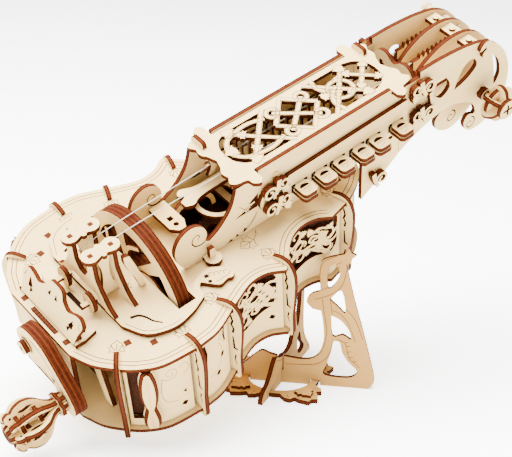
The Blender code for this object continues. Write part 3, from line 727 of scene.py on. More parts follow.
def star_wheel(cx, cy, radius):
    """A small eight-pointed wheel."""
    points = []
    for i in range(16):
        angle, reach = math.tau * i / 16, radius * (1.0 if i % 2 else 0.72)
        points.append((cx + reach * math.cos(angle), cy + reach * math.sin(angle)))
    return points


def soundboard_marks():
    """The engraved border, the leaves at the ribs and the burnt ends of tabs from below."""
    top = flat(TOP_Z)
    outer = loops_of("soundboard", flat(TOP_Z - PLY / 2), PLY / 2)[0]
    runs = split(inset(outer, 3.0)) + split(inset(outer, 5.6))
    engrave("soundboard_border", runs, top, width=0.48)
    runs = []
    for _, x, y, lean in RIBS:
        for _, sign in SIDES:
            angle = math.radians(sign * (90 - lean))
            stem = (x - 11.5 * math.cos(angle), sign * y - 11.5 * math.sin(angle))
            direction = math.degrees(angle) + 180
            outline = leaf(*stem, 9.0, direction)
            runs += [outline + outline[:1]]
            for turn in (-34, 0, 34):
                runs.append(shifted([(1.6, 0), (6.5, 0)], *stem, direction + turn))
    engrave("soundboard_leaves", runs, top, width=0.5)
    squares = []
    for x, y in ((-113.7, 53.9), (-125.3, 44.5), (48.7, 26.2), (62.1, 23.9)):
        squares += [turned_square(x, s * y, 4.0, 45 + s * 8) for s in (-1, 1)]
    squares += [turned_square(-151.2, s * 21.5, 4.0, 45) for s in (-1, 1)]
    flat_faces("soundboard_tab_ends", squares, top, TAB_END)
    slot = [(-131.6, 8.6), (-131.6, -8.4), (-128.6, -8.4), (-128.6, 8.6)]
    flat_faces("soundboard_slot", [slot], top)
    outline = leaf(-22.5, -31.0, 10.5, 180)
    veins = [[(-23.5, -31.0), (-31.0, -31.0)], [(-25.0, -31.0), (-28.5, -27.6)],
             [(-25.0, -31.0), (-28.5, -34.4)], [(-22.5, -31.0), (-18.5, -28.5), (-16.5, -25.5)]]
    engrave("soundboard_vine_leaf", [outline + outline[:1]] + veins, top, width=0.42)
    slot = [(-153.4, 12.6), (-153.4, -12.6), (-150.4, -12.6), (-150.4, 12.6)]
    flat_faces("tail_slot", [slot], top)
    wheels = [star_wheel(-151.9, 2.7 * i, 1.45) for i in range(-4, 5)]
    flat_faces("tail_slot_wheels", wheels, top, TAB_END, lift=2 * MARK_LIFT)
    teeth = []
    for i in range(9):
        y = -10.4 + i * 2.4
        teeth += [(-152.9, y), (-151.6, y + 0.7), (-151.6, y + 1.5), (-152.9, y + 1.9)]
    teeth += [(-153.5, 10.9), (-153.5, -10.9)]
    board("tail_toothed_strip", teeth, flat(186.4), 1.6)


def rib_marks():
    """Burnt slots through the ribs' broad faces."""
    wavy = strap([(-1.5, 183.0), (-0.2, 178.0), (-1.3, 174.5), (0.2, 171.0), (-0.6, 167.0)], 1.5)
    angle = [(-1.2, 163.5), (-0.2, 163.5), (0.6, 153.5), (2.4, 152.6), (2.2, 151.4), (-0.9, 152.0)]
    low = strap([(0.6, 146.5), (-0.3, 142.0), (0.9, 137.5)], 1.2, 0.5)
    faces = quads(wavy) + quads(low) + [angle[:3] + angle[5:], angle[2:]]
    for label, *_ in RIBS:
        for side, sign in SIDES:
            mark_both_faces(f"rib_{label}_{side}_slots", faces, rib_place(label, sign))


def panel_run(number):
    """The middle of a side panel's thickness in plan, clear of the ribs at its ends."""
    run = smooth(BAYS[number - 1])
    moved = []
    for i, point in enumerate(run):
        before, after = Vector(run[max(i - 1, 0)]), Vector(run[min(i + 1, len(run) - 1)])
        along = (after - before).normalized()
        moved.append((point[0] + along.y * 4.1, point[1] - along.x * 4.1))
    kept = []
    for x, y in moved:
        clear = True
        for side, (_, rib_x, rib_y, lean) in zip((1, -1), (RIBS[number - 1], RIBS[number])):
            turn = math.radians(90 - lean)
            past = (x - rib_x) * math.sin(turn) - (y - rib_y) * math.cos(turn)
            clear = clear and past * side > 1.9
        if clear and (not kept or x > kept[-1][0] + 0.3):
            kept.append((x, y))
    return kept


def run_length(run):
    """The length along an open run."""
    return sum((Vector(b) - Vector(a)).length for a, b in zip(run, run[1:]))


def scroll(x, y, size, flip=1, turn=0.0):
    """A curling stem with leaves, as overlapping bands."""
    stem = smooth([(0, 0), (0.30, 0.16), (0.55, 0.02), (0.62, -0.26), (0.42, -0.40), (0.26, -0.24),
                   (0.38, -0.12)], 4)
    branch = smooth([(0.22, 0.12), (0.44, 0.36), (0.74, 0.36), (0.86, 0.14), (0.74, 0.04)], 4)
    shapes = [strap(stem, 0.12, 0.6), strap(branch, 0.10, 0.6), leaf(0.62, 0.36, 0.26, 65),
              leaf(0.62, -0.22, 0.28, -30), leaf(0.10, 0.08, 0.24, 120)]
    return [shifted([(px, py * flip) for px, py in shape][::flip], x, y, turn, size) for shape in shapes]


def diamonds(*places):
    """Small turned squares."""
    return [turned_square(x, y, 3.4, 12) for x, y in places]


def panel_openings(number, length):
    """What is cut through a side panel of the given length."""
    if number == 1:
        nick = [(length - 6.5, 152.5), (length - 4.0, 154.0), (length - 4.2, 150.2)]
        return [box(2.0, 9.0, 138.0, 183.0)] + diamonds((length - 6.0, 141.0)) + [nick]
    if number == 2:
        slots = [strap([(3.0, 180.0), (4.4, 171.0), (3.6, 162.0)], 1.8),
                 strap([(length - 4.0, 181.0), (length - 5.4, 174.0), (length - 4.4, 167.0)], 1.8)]
        return slots + diamonds((length / 2, 146.0), (length - 8.0, 158.5))
    window = closed([(3.5, 152.0), (4.0, 170.0), (5.0, 182.5), (length / 2, 183.0),
                     (length - 5.0, 182.5), (length - 4.0, 168.0), (length - 5.0, 156.0),
                     (length * 0.62, 150.0), (length * 0.36, 146.0)], 4)
    return [window] + diamonds((length - 7.0, 143.5))


def panel_fretwork(length):
    """The scrolls in a panel's window, kept inside its border, and the stem behind them."""
    cuts = []
    scrolls = ((0.05, 170.0, 1, 8), (0.30, 176.0, -1, -20), (0.34, 158.0, 1, 22), (0.60, 172.0, 1, -15),
               (0.56, 160.0, -1, 15), (0.16, 160.0, -1, -60), (0.80, 174.0, -1, -70))
    for number, (share, height, flip, turn) in enumerate(scrolls):
        for shape in scroll(share * length, height, 20.0, flip, turn):
            kept = [(min(max(x, 3.0), length - 3.0), min(max(y, 146.0), 184.0)) for x, y in shape]
            cuts.append((kept, (), 0.05 + 0.03 * (number % 3)))
    stem = smooth([(4.0, 164.0), (length * 0.5, 160.0), (length - 4.0, 170.0)])
    return cuts + [(strap(stem, 2.0), (), 0.0)]


def panel_swirls(number):
    """The engraved curls on the two panels without a window."""
    if number == 1:
        return [spiral(26.0, 174.0, 200, 1.6, 5.5, 0.8),
                smooth([(21.0, 172.0), (19.5, 160.0), (22.0, 150.0), (30.0, 146.0)]),
                smooth([(31.5, 175.0), (36.0, 178.0), (38.0, 172.0), (34.0, 168.0)])]
    if number == 2:
        return [smooth([(6.0, 148.0), (14.0, 152.0), (18.0, 162.0), (15.0, 172.0)]),
                spiral(18.0, 174.5, -60, 1.4, 4.0, 0.7)]
    return []


def side_panels():
    """Fretted walls between the ribs, each with a thin dark board of painted shade behind it where it is cut
    through.
    """
    for number in (1, 2, 3, 4):
        run = panel_run(number)
        length = run_length(run)
        cuts = [(box(0.0, length, PANEL_LOW, PANEL_HIGH), panel_openings(number, length), 0.0)]
        if number > 2:
            cuts += panel_fretwork(length)
        start, end = {1: (1.0, 11.0), 2: (1.0, length - 1.0)}.get(number, (1.5, length - 1.5))
        # A thin board just inside each panel, coloured as painted shade of the body's dark inside.
        shade_sheet = [(box(start, end, 136.0, 184.0), (), -3.4)]
        swirls = panel_swirls(number)
        for side, sign in SIDES:
            shown = bent_boards(f"panel_{number}_{side}", run, sign, cuts, PANEL_PLY)
            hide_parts(f"side_panel_{number}_{side}")
            darken_as_shade(bent_boards(f"panel_shade_sheet_{number}_{side}", run, sign, shade_sheet, 0.8))
            if swirls:
                lines = [[bent(run, sign, x, y, PANEL_PLY / 2 + 0.06) for x, y in line] for line in swirls]
                ribbon(f"panel_{number}_{side}_swirl", lines, 0.32)


def neck_panels():
    """The plain bent walls that close the body between the last rib and the head-end board."""
    run = smooth([(42.4, 39.6), (49.0, 36.4), (56.0, 32.3), (61.6, 26.6), (64.0, 21.0)])
    length = run_length(run)
    holes = [strap([(length / 2, 176.0), (length / 2 + 1.2, 168.0), (length / 2, 160.0)], 1.6)]
    holes += diamonds((length / 2, 146.0))
    cuts = [(box(0.0, length, PANEL_LOW + 0.3, PANEL_HIGH + 0.2), holes, 0.0)]
    for side, sign in SIDES:
        bent_boards("neck_panel_" + side, run, sign, cuts, PANEL_PLY)


def ribbon(name, lines, width):
    """Engraved lines on a curved wall: each run of 3-D points becomes a thin upright ribbon."""
    form = bmesh.new()
    for line in lines:
        rows = []
        for i, point in enumerate(line):
            along = (line[min(i + 1, len(line) - 1)] - line[max(i - 1, 0)]).normalized()
            flat_along = Vector((along.x, along.y, 0))
            if flat_along.length < 0.05 and rows:
                flat_along = Vector((rows[-1][2].x, rows[-1][2].y, 0))
            outward = Vector((flat_along.y, -flat_along.x, 0)).normalized()
            across = along.cross(outward).normalized() * width / 2
            upper, lower = (form.verts.new((point + move) * MM) for move in (across, -across))
            rows.append((upper, lower, flat_along))
        for a, b in zip(rows, rows[1:]):
            form.faces.new((a[0], b[0], b[1], a[1]))
    marked(name, form, LEVEL, ENGRAVED, "instrument")


def balusters():
    """Two waisted boards that cross, before the first panel on each side."""
    outline = mirrored_about(smooth([(2.0, 135.0), (4.6, 138.0), (5.2, 145.0), (3.6, 151.0), (3.0, 154.0),
                                     (4.6, 160.0), (5.8, 170.0), (5.0, 180.0), (3.0, 185.6)], 4))
    run = panel_run(1)
    for side, sign in SIDES:
        here, ahead = bent(run, sign, 13.0, 0, 4.4), bent(run, sign, 14.0, 0, 4.4)
        degrees = math.degrees(math.atan2(ahead.y - here.y, ahead.x - here.x))
        middle = LEVEL @ upright(here.x, here.y, degrees)
        for number, turn in ((1, 38), (2, -38)):
            place = middle @ Matrix.Rotation(math.radians(turn), 4, "Y")
            board(f"baluster_{side}_{number}", outline, place)


# ---------------------------------------------------------------- tail, cradle, trestles and wheel

def tail_details():
    """Openings in the crest, and the braces, a board of painted shade inside and the fins at the crank end.
    """
    place = crest_place()
    half = [[(17.0, 6.0), (19.4, 3.8), (20.5, 8.5)], [(5.0, 14.0), (2.0, 13.5), (2.6, 17.5)],
            [(27.0, 12.0), (28.6, 10.0), (26.0, 16.0)]]
    marks = []
    for first, second, third in half:
        marks += [[(-first[0], first[1]), (-third[0], third[1]), (-second[0], second[1])],
                  [first, second, third]]
    mark_both_faces("crest_openings", marks, place)
    for side, sign in SIDES:
        brace = [(sign * y, z) for y, z in ((38.0, 132.0), (31.0, 132.0), (22.0, 160.0), (24.0, 186.0),
                                            (33.0, 186.0), (31.0, 160.0))]
        board("tail_brace_" + side, brace, crosswise(-137.0))
    # A board across the inside of the crank end, its faces painted shade for the body's dark depth.
    darken_as_shade(board("tail_shade_board", box(-20.0, 20.0, 132.0, 186.0), crosswise(-131.0)), (0,))
    fin = [(-150.0, 29.2), (-143.5, 29.6), (-134.6, 27.5), (-137.4, 23.2), (-140.2, 19.4), (-146.0, 22.6)]
    for side, sign in SIDES:
        holes = [turned_square(-140.4, sign * 23.4, 2.4, 0), turned_square(-145.0, sign * 26.4, 2.4, 0)]
        board("tail_fin_" + side, [(x, sign * y) for x, y in fin], flat(TOP_Z + 1.6), holes=holes)


def cradle_details():
    """Crescents, arm marks and border on the raised plate round the wheel, and its two knobs."""
    top = flat(CRADLE_TOP)
    bow = [(-115.0, 33.4), (-110.4, 35.2), (-107.8, 39.0), (-106.4, 43.4), (-102.9, 48.4)]
    for side, sign in SIDES:
        run = smooth([(x, sign * y) for x, y in bow])
        flat_faces("cradle_crescent_" + side, quads(strap(run, 2.0, 0.5)), top)
    marks = [turned_square(-63.1, -37.3, 2.6, 30), circle(-63.8, -41.9, 1.3, 12)]
    flat_faces("cradle_arm_holes", marks, top)
    runs = [arc(x, y, 1.6, 30, 200, 7)
            for x, y in ((-60.0, -38.2), (-57.4, -39.6), (-54.7, -40.8), (-52.0, -42.0))]
    runs.append([(-61.5, -44.6), (-52.0, -44.6), (-49.6, -43.0)])
    engrave("cradle_arm_scallops", runs, top, width=0.42)
    outer = loops_of("wheel_cradle", flat(190.85), PLY / 2)[0]
    run = [p for p in inset(outer, 2.2) if p[0] < -92.0]
    engrave("cradle_border", split(run, 6.0), top, width=0.4)
    knob = mirrored_about([(4.2, 192.6), (5.6, 197.0), (5.0, 201.5), (2.6, 204.4), (0.0, 205.0)])
    for side, sign in SIDES:
        middle = sign * 13.0
        board("cradle_knob_" + side, [(middle + y, z) for y, z in knob], crosswise(-127.5))
        block = box(-133.5, -123.5, middle - PLY / 2, middle + PLY / 2)
        board("cradle_knob_tab_" + side, block, flat(198.0), 2.0)


def trestle_details():
    """Tab ends, bone-shaped caps, webs, front legs and curls of the two trestles."""
    squares = [turned_square(x, sign * 10.0, 3.0, 45) for x in (-121.0, -107.0) for sign in (-1, 1)]
    flat_faces("cap_tab_ends", squares, flat(229.85), TAB_END)
    for side, sign in SIDES:
        lobes = [arc(-114.0 + 1.9 * dx, sign * 10.0 + 2.6 * dy, 1.7, 0, 330, 11)
                 for dx, dy in ((-1, 0.9), (1, -0.9), (0, -1.4), (0, 1.4))]
        boards("cap_lobes_" + side, [(lobe, (), 0.0) for lobe in lobes], flat(228.4), 2.8)
        strut = smooth([(-119.0, 194.0), (-116.5, 204.0), (-116.0, 215.0), (-119.2, 226.0)], 3)
        strut += smooth([(-108.8, 226.0), (-111.0, 215.0), (-110.0, 203.0), (-103.0, 194.0)], 3)
        board("trestle_web_" + side, strut, lengthwise(sign * 10.0), 2.6)
        leg = [(-105.2, 224.0), (-101.5, 223.0), *smooth([(-98.5, 214.0), (-95.6, 203.0), (-93.4, 193.0)], 3),
               (-96.8, 193.0), *smooth([(-99.6, 203.0), (-103.2, 212.0), (-105.2, 219.0)], 3)]
        board("trestle_leg_" + side, leg, lengthwise(sign * 17.5))
        curl = quads(strap(spiral(sign * 21.0, 203.0, 90, 1.1, 2.6, 0.5, 12), 0.7))
        mark_both_faces("trestle_curl_" + side, curl, crosswise(-107.0))


def wheel_details():
    """Curved spokes laid on the wheel's two faces, and its hub."""
    cuts = []
    for start in range(0, 360, 60):
        curve = [arc(0, 0, reach, start + turn, start + turn, 1)[0]
                 for reach, turn in ((8.0, 0), (17.0, 10), (26.0, 26), (35.0, 46))]
        cuts.append((strap(smooth(curve, 4), 4.0, 0.6), (), 0.0))
    cuts.append((circle(0, 0, 10.0, 24), (circle(0, 0, 3.4, 12),), 0.0))
    for side, shift in (("rear", -5.2), ("front", 5.2)):
        place = crosswise(WHEEL_X + shift) @ Matrix.Translation((0, AXLE_Z * MM, 0))
        boards("wheel_spokes_" + side, cuts, place, 1.2, "crank")


def crank_details():
    """The slit burnt through the arm, and the lock and washer on the shaft's end."""
    slit = smooth([(-5.0, 187.5), (-16.0, 184.0), (-26.0, 175.0), (-34.0, 165.5)], 4)
    faces = quads(strap(slit, 1.3, 0.5)) + [[(-25.0, 166.5), (-22.6, 171.5), (-27.0, 170.5)]]
    mark_both_faces("crank_slit", faces, crosswise(-161.5), ("inner", "outer"), "crank", 4.2)
    rim = wavy_circle(0, AXLE_Z, 4.6, 4, 0.10, 36)
    lock = board("crank_shaft_lock", rim, crosswise(-168.2), PLY, [circle(0, AXLE_Z, 1.6, 10)], "crank")
    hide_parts("shaft_lock")
    board("crank_washer", circle(0, AXLE_Z, 5.6, 20), crosswise(-166.35), 0.5, (), "crank")


def handle():
    """The onion-shaped grip: four fretted boards crossing on the pin, tied by notched rings."""
    y, z = HANDLE_AXIS
    reach = HANDLE_RADIUS
    half = smooth([(-166.6, 6.0), (-169.5, 6.4), (-173.0, 5.2), (-177.5, 8.0), (-182.5, 12.8),
                   (-189.0, reach), (-194.5, 14.4), (-198.0, 12.2), (-199.6, 12.8), (-202.4, 11.4),
                   (-203.0, 8.6),
                   (-201.6, 6.6), (-204.6, 5.0), (-205.0, 2.0)], 4)
    openings = [[(-176.0, 3.2), (-181.5, 6.8), (-187.5, 8.6), (-183.0, 4.4)],
                smooth([(-184.0, 10.4), (-189.0, 11.8), (-194.0, 10.6), (-190.5, 9.2),
                        (-184.0, 10.4)], 3)[:-1],
                box(-194.0, -191.0, 3.6, 7.6), circle(-199.4, 9.6, 0.9, 8)]
    holes = [[(px, sign * py) for px, py in loop] for loop in openings for sign in (1, -1)]
    for i in range(4):
        angle = math.radians(67.5 + 45 * i)
        place = LEVEL @ basis(Vector((1, 0, 0)), Vector((0, math.cos(angle), math.sin(angle))), (0, y, z))
        board(f"handle_fin_{i + 1}", mirrored(half), place, PLY - 0.02 * i, holes, "handle")
    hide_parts("crank_handle")
    for number, (x, radius) in enumerate(((-170.4, 7.2), (-184.5, 9.0), (-196.4, 9.6)), 1):
        lobes = wavy_circle(0, 0, radius, 8, -0.10, 48)
        place = crosswise(x) @ Matrix.Translation((y * MM, z * MM, 0))
        board(f"handle_ring_{number}", lobes, place, 2.6, (), "handle")


# ---------------------------------------------------------------- keybox

def lid_outline():
    """The lid with a yoke at each end that reaches over the keybox walls."""
    tab = 31.0
    yoke = smooth([(-26.5, 15.5), (-29.0, 20.0), (-26.0, 23.0), (-19.5, 24.5), (-18.5, tab - 2.5),
                   (-14.5, tab), (-11.5, tab - 3.0)], 4)
    half = [(-23.0, 0.0), *smooth([(-25.0, 6.0), (-27.5, 10.5), (-26.5, 15.5)], 4)] + yoke[1:]
    half = half + [(-11.55, 20.9), (-11.55, 19.9)]
    return mirrored(half + [(84.4 - x, y) for x, y in reversed(half)])


def leaf_end(x, y, size, degrees):
    """A leaf whose stem starts a little before x, y."""
    angle, stem = math.radians(degrees), 0.15 * size
    return leaf(x - stem * math.cos(angle), y - stem * math.sin(angle), size, degrees)


def lid():
    """The fretted lid: woven straps in a long window, with leaves at their ends."""
    window = mirrored(smooth([(-16.5, 0.0), (-15.5, 7.0), (-11.0, 13.0), (-4.0, 15.8)], 4)
                      + smooth([(90.4, 15.8), (97.0, 13.0), (101.9, 7.0), (103.2, 0.0)], 4))
    wide = 3.2
    lines, shapes = [], []
    for s in (-1, 1):
        lines += [[(25.0, s * 17.0), (-3.0, s * -12.0)], [(57.0, s * 17.0), (84.0, s * -11.5)],
                  smooth([(-13.0, s * 2.5), (-8.0, s * 9.0), (1.0, s * 12.0), (11.0, s * 12.6),
                          (21.0, s * 9.5)], 6),
                  [(27.5, s * -10.0), (50.5, s * 10.0)], [(39.0, s * 17.0), (22.5, 0.0)],
                  [(39.0, s * 17.0), (55.5, 0.0)], [(86.0, s * -6.4), (98.4, s * 6.4)],
                  smooth([(64.0, s * 17.0), (62.4, s * 9.0), (66.0, s * 2.0), (73.0, s * -3.0)], 5)]
        shapes += [leaf_end(-2.6, s * 12.4, 8.6, s * 128), leaf_end(83.6, s * 12.2, 8.0, s * 48),
                   leaf_end(98.0, s * 6.2, 6.4, s * 45), leaf_end(86.4, s * 6.2, 6.4, s * 135),
                   leaf_end(3.0, s * 6.0, 7.0, s * 132), leaf_end(76.4, s * 5.6, 6.4, s * 48)]
    shapes += [leaf_end(-9.4, 0.0, 9.0, 180), leaf_end(60.0, 0.0, 7.0, 0)]
    rings = [(x, t * 10.0, 5.3) for x in (27.5, 50.5) for t in (-1, 1)] + [(73.5, -1.0, 9.8)]
    spandrels = [[(x, t * y) for x, y in points] for t in (-1, 1) for points in (
        ((27.0, 14.0), (26.0, 16.4), (38.0, 16.4), (33.0, 12.6)),
        ((44.0, 12.6), (40.0, 16.4), (58.0, 16.4), (52.0, 13.8)))]
    cuts = [(lid_outline(), (window,), 0.0)]
    woven = [(strap(line, wide), ()) for line in lines]
    woven += [(circle(x, y, radius, 28), (circle(x, y, radius - wide + 0.2, 20),)) for x, y, radius in rings]
    for outline, holes in woven:
        cuts.append((outline, holes, 0.02 + 0.03 * (len(cuts) % 5)))
    cuts += [(shape, (), 0.20) for shape in shapes] + [(shape, (), 0.01) for shape in spandrels]
    fretwork = boards("lid_fretwork", cuts, flat(LID_Z + PLY / 2), PLY - 0.2, "lid")
    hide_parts("keybox_lid")
    runs = []
    for line in lines:
        band = strap(line, wide - 0.7)
        count = len(band) // 2
        runs += [band[:count], band[count:]]
    for x, y, radius in rings:
        for reach, count in ((radius - 0.35, 28), (radius - wide + 0.6, 20)):
            runs.append(circle(x, y, reach, count) + [(x + reach, y)])
    runs += [shape + shape[:1] for shape in shapes]
    engrave("lid_weave_lines", runs, flat(LID_Z + PLY + 0.12), "lid", 0.26)
    for name, x in (("front", -22.0), ("rear", 106.4)):
        catch = box(12.5, 24.0, LID_Z + 1.0, LID_Z + PLY + 2.5)[:2]
        catch += arc(21.5, LID_Z + PLY + 1.5, 2.5, 0, 90, 4) + arc(15.0, LID_Z + PLY + 1.5, 2.5, 90, 180, 4)
        board("lid_catch_" + name, catch, crosswise(x), PLY, (), "lid")


def key(number, x):
    """A two-ply key with a half-moon window, and the tangent flag it carries."""
    body = f"key_{number}"
    half, corner, moon_y = KEY_HALF - 0.2, 3.0, -32.2
    front = arc(x - half + corner, KEY_FRONT + corner, corner, 180, 262, 5)
    front += arc(x + half - corner, KEY_FRONT + corner, corner, 278, 360, 5)
    full = [(x - half, -27.6), *front, (x + half, -27.6),
            (x + 4.0, -26.4), (x + 4.0, -8.0), (x - 4.0, -8.0), (x - 4.0, -26.4)]
    cap = [(x - half + 0.5, -28.6), *[(x + (px - x) * 0.93, py + 0.4) for px, py in front],
           (x + half - 0.5, -28.6), (x + 3.4, -27.6), (x + 3.4, -24.0), (x - 3.4, -24.0), (x - 3.4, -27.6)]
    moon = [(px, moon_y + (py - moon_y) * 0.75) for px, py in arc(x, moon_y, 3.5, 0, 180, 10)]
    lower = board(body + "_lower", full, flat(204.45), PLY - 0.1, (), body)
    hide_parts(body)
    board(body + "_upper", cap, flat(207.5), PLY - 0.1, (moon,), body)
    flat_faces(body + "_moon", [moon], flat(206.6), TAB_END, body)
    dots = [circle(x + dx, -33.3, 0.33, 8) for dx in (-1.6, 0.0, 1.6)]
    flat_faces(body + "_dots", dots, flat(208.95), ENGRAVED, body)
    runs = [smooth([(x - 1.8, -38.0), (x - 0.8, -36.4), (x + 0.6, -36.8), (x + 1.6, -35.4)]),
            [(x - 3.0, -34.1), (x + 3.0, -34.1)]]
    engrave(body + "_lines", runs, flat(208.95), body, 0.24)
    board(body + "_tangent", box(-17.0, -9.0, 206.1, 226.6), crosswise(x), PLY, (), body)


def wall_marks():
    """The curls cut in the volutes, the vine along the wall's foot and what is pinned to it."""
    curl = smooth([(-52.4, 203.2), (-55.6, 202.6), (-59.6, 204.2), (-61.6, 207.8), (-60.2, 211.4),
                   (-57.2, 212.0), (-55.8, 209.6), (-57.6, 208.4)], 4)
    marks = quads(strap(curl, 1.1, 0.45))
    marks += [[(-35.8, 189.6), (-31.9, 189.6), (-34.0, 192.0)],
              [(-30.2, 190.4), (-27.2, 190.4), (-29.2, 193.4)],
              [(-24.2, 191.0), (-20.6, 191.6), (-23.4, 194.4)]]
    vine = [smooth([(-38.0, 190.4), (-26.0, 191.6), (-17.0, 196.0), (-13.4, 201.6)]),
            smooth([(-27.0, 189.4), (-18.6, 193.6), (-12.4, 200.8)]),
            [(-26.0, 214.0), (-20.8, 207.4), (-13.6, 207.2)]]
    leafy = [(leaf(-22.5, 208.0, 6.5, 20), (), 0.0), (strap([(-28.0, 206.3), (-14.0, 210.0)], 1.2), (), 0.0)]
    for side, sign in SIDES:
        place = lengthwise(sign * WALL_Y)
        labels = ("outer", "inner") if sign < 0 else ("inner", "outer")
        mark_both_faces("volute_curl_" + side, marks, place, labels)
        engrave("wall_vine_" + side, vine, place, width=0.45, lift=-sign * (PLY / 2 + 0.05))
        boards("window_leaf_" + side, leafy, place, 2.0)
        for number, x, z in ((1, 1.8, 223.2), (2, 106.6, 222.6)):
            dowel = board(f"dowel_{number}_{side}", circle(x, z, 2.0, 14), lengthwise(sign * (WALL_Y + 1.9)),
                          1.2, (), "instrument", "yellow")
            dowel.data.materials[1] = dowel.data.materials[0]


def brackets():
    """Curled brackets before the key guide's ends, and the peg that locks the near volute."""
    repeated = (("rear_upper", 118.6, 224.0), ("rear_lower", 120.0, 202.0), ("low", 80.0, 169.0))
    places = [(name + side, x, z, 1, sign * 25.8)
              for side, sign in (("", -1), ("_far", 1)) for name, x, z in repeated]
    places += [("front_upper", -1.0, 216.0, -1, -25.8), ("front_lower", -2.0, 205.0, -1, -28.3)]
    for name, x, z, flip, y in places:
        band = strap(smooth([(-1.8, 6.6), (-0.6, 0.6), (2.4, -6.4)]), 3.4, 0.8)
        counter = strap(spiral(-5.4, 2.0, 5, -1.2, 4.4, 1.3, 22), 1.9, 0.75)
        curl = strap(spiral(5.4, -1.0, 175, -1.25, 5.0, 1.3, 22), 1.9, 0.75)
        bud = leaf(-6.0, -2.0, 6.0, -112)
        shapes = [band, curl] if name.startswith("low") else [band, counter, curl, bud]
        for ply in (0, 1):
            cuts = [([(x + flip * px, z + pz) for px, pz in shape], (), 0.02 * layer)
                    for layer, shape in enumerate(shapes)]
            boards(f"bracket_{name}_{ply + 1}", cuts, lengthwise(y + math.copysign(2.05 * ply, y)), 2.0)
    for side, sign in SIDES:
        board("bracket_tie_" + side, strap([(127.2, 215.0), (130.4, 199.0)], 2.4), lengthwise(sign * 25.4))
    tie = smooth([(-9.6, 214.0), (-11.4, 208.0), (-8.0, 200.6), (-1.4, 196.4)], 4)
    board("bracket_stem", strap(tie, 3.0, 0.7), lengthwise(-25.3))
    peg = arc(-51.0, -28.6, 5.2, 150, 390, 14) + [(-46.6, -24.0), (-55.6, -24.0)]
    board("volute_peg_plate", peg, flat(191.2))
    board("volute_peg", box(-53.0, -49.2, 189.9, 200.0), lengthwise(-27.0))
    beam = [(64.0, 200.0), (66.0, 196.6), (80.0, 189.0), (95.0, 192.6), (96.0, 196.0), (82.0, 192.8),
            (68.0, 200.4)]
    board("guide_bracket", beam, lengthwise(-25.2), 2.4)


def keybox_inside():
    """Hoops, tongue, horn and gears in the keybox's mouth, its floors, and the tangents' combs; the gears and
    the floors are painted shade.
    """
    board("mouth_hoop", circle(-24.0, 1.0, 15.0, 36), flat(200.0), 2.0, (circle(-24.0, 1.0, 12.0, 36),))
    arch = arc(-38.0, 190.0, 17.5, 0, 180, 22) + arc(-38.0, 190.0, 14.4, 180, 0, 22)
    board("mouth_arch", arch, lengthwise(9.0), 2.4)
    tongue = smooth([(-46.0, 3.0), (-41.0, 1.0), (-36.0, 3.4), (-28.0, 4.6), (-10.0, 5.0)]) + [(-10.0, 13.0)]
    tongue += smooth([(-28.0, 12.6), (-34.0, 13.6), (-41.0, 16.4), (-44.6, 13.0), (-41.6, 10.0),
                      (-46.0, 7.6)])
    board("mouth_tongue", tongue, flat(206.0))
    horn = smooth([(-20.0, 222.0), (-17.0, 214.0), (-20.0, 206.6)])
    horn += smooth([(-15.6, 206.6), (-12.6, 214.0), (-16.0, 222.0)])
    board("mouth_horn", horn, lengthwise(16.0), 2.4)
    for number, (x, y, radius, z) in enumerate(((-31.0, -3.0, 10.5, 180.0), (-20.0, 10.0, 8.0, 176.5),
                                                (6.0, 0.0, 13.0, 180.0), (44.0, 0.0, 13.0, 180.0)), 1):
        hole = circle(x, y, radius * 0.45, 16)
        # The gears' faces carry painted shade of the keybox's dark inside.
        darken_as_shade(board(f"gear_{number}", gear(x, y, radius), flat(z), holes=[hole]), (0,))
    # Two boards under the keys in painted shade, for the dark inside of the body.
    darken_as_shade(board("gear_deck", box(-52.0, 62.0, -24.0, 24.0), flat(168.0), 2.0))
    darken_as_shade(board("keybox_floor", box(-9.0, 103.0, -20.2, 20.2), flat(195.0), 1.6), (0,))
    comb = [(-8.0, 196.2)]
    for i in range(18):
        x = -6.0 + 6.0 * i
        comb += [(x, 206.0), (x, 217.0), (x + 3.4, 217.0), (x + 3.4, 206.0)]
    for number, y in enumerate((12.6, 18.6), 1):
        board(f"tangent_comb_{number}", comb + [(102.0, 196.2)], lengthwise(y), 1.6)


def gear(x, y, radius):
    """A gear with square teeth."""
    points = []
    count = int(radius * 1.6)
    for i in range(count):
        start = 360 / count * i
        for turn, reach in ((0.0, 1.0), (0.28, 1.0), (0.40, 1.16), (0.68, 1.16), (0.80, 1.0)):
            angle = math.radians(start + 360 / count * turn)
            points.append((x + radius * reach * math.cos(angle), y + radius * reach * math.sin(angle)))
    return points


# ---------------------------------------------------------------- head

def tuner():
    """The near tuner: crossed grips on the shaft, a drum and an end disc with a cross cut in it."""
    x, z = TUNER
    place = lengthwise(0) @ Matrix.Translation((x * MM, z * MM, 0))

    def at(y):
        return place @ Matrix.Translation((0, 0, -y * MM))

    half = smooth([(-24.2, 3.2), (-31.5, 3.2), (-33.0, 8.0), (-36.0, 12.2), (-40.0, 13.4), (-44.0, 11.4),
                   (-46.4, 7.0), (-47.2, 2.0)], 4)
    for number, turn in enumerate((20, 80, 140), 1):
        angle = math.radians(turn)
        across = Vector((math.cos(angle), 0, math.sin(angle)))
        radial = LEVEL @ basis(Vector((0, 1, 0)), across, (x, 0, z))
        thickness = PLY - 0.04 * number
        board(f"tuner_board_{number}", mirrored(half), radial, thickness, (), "near_tuner")
    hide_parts("tuner_near")
    board("tuner_collar", circle(0, 0, 4.4, 20), at(-27.0), 4.0, (), "near_tuner")
    board("tuner_drum", circle(0, 0, 10.6, 28), at(-38.6), PLY, (), "near_tuner")
    cross = [(0.9, 0.9), (4.2, 0.9), (4.2, -0.9), (0.9, -0.9), (0.9, -4.2), (-0.9, -4.2), (-0.9, -0.9),
             (-4.2, -0.9), (-4.2, 0.9), (-0.9, 0.9), (-0.9, 4.2), (0.9, 4.2)]
    board("tuner_disc", circle(0, 0, 7.2, 24), at(-47.4), PLY, (cross,), "near_tuner")


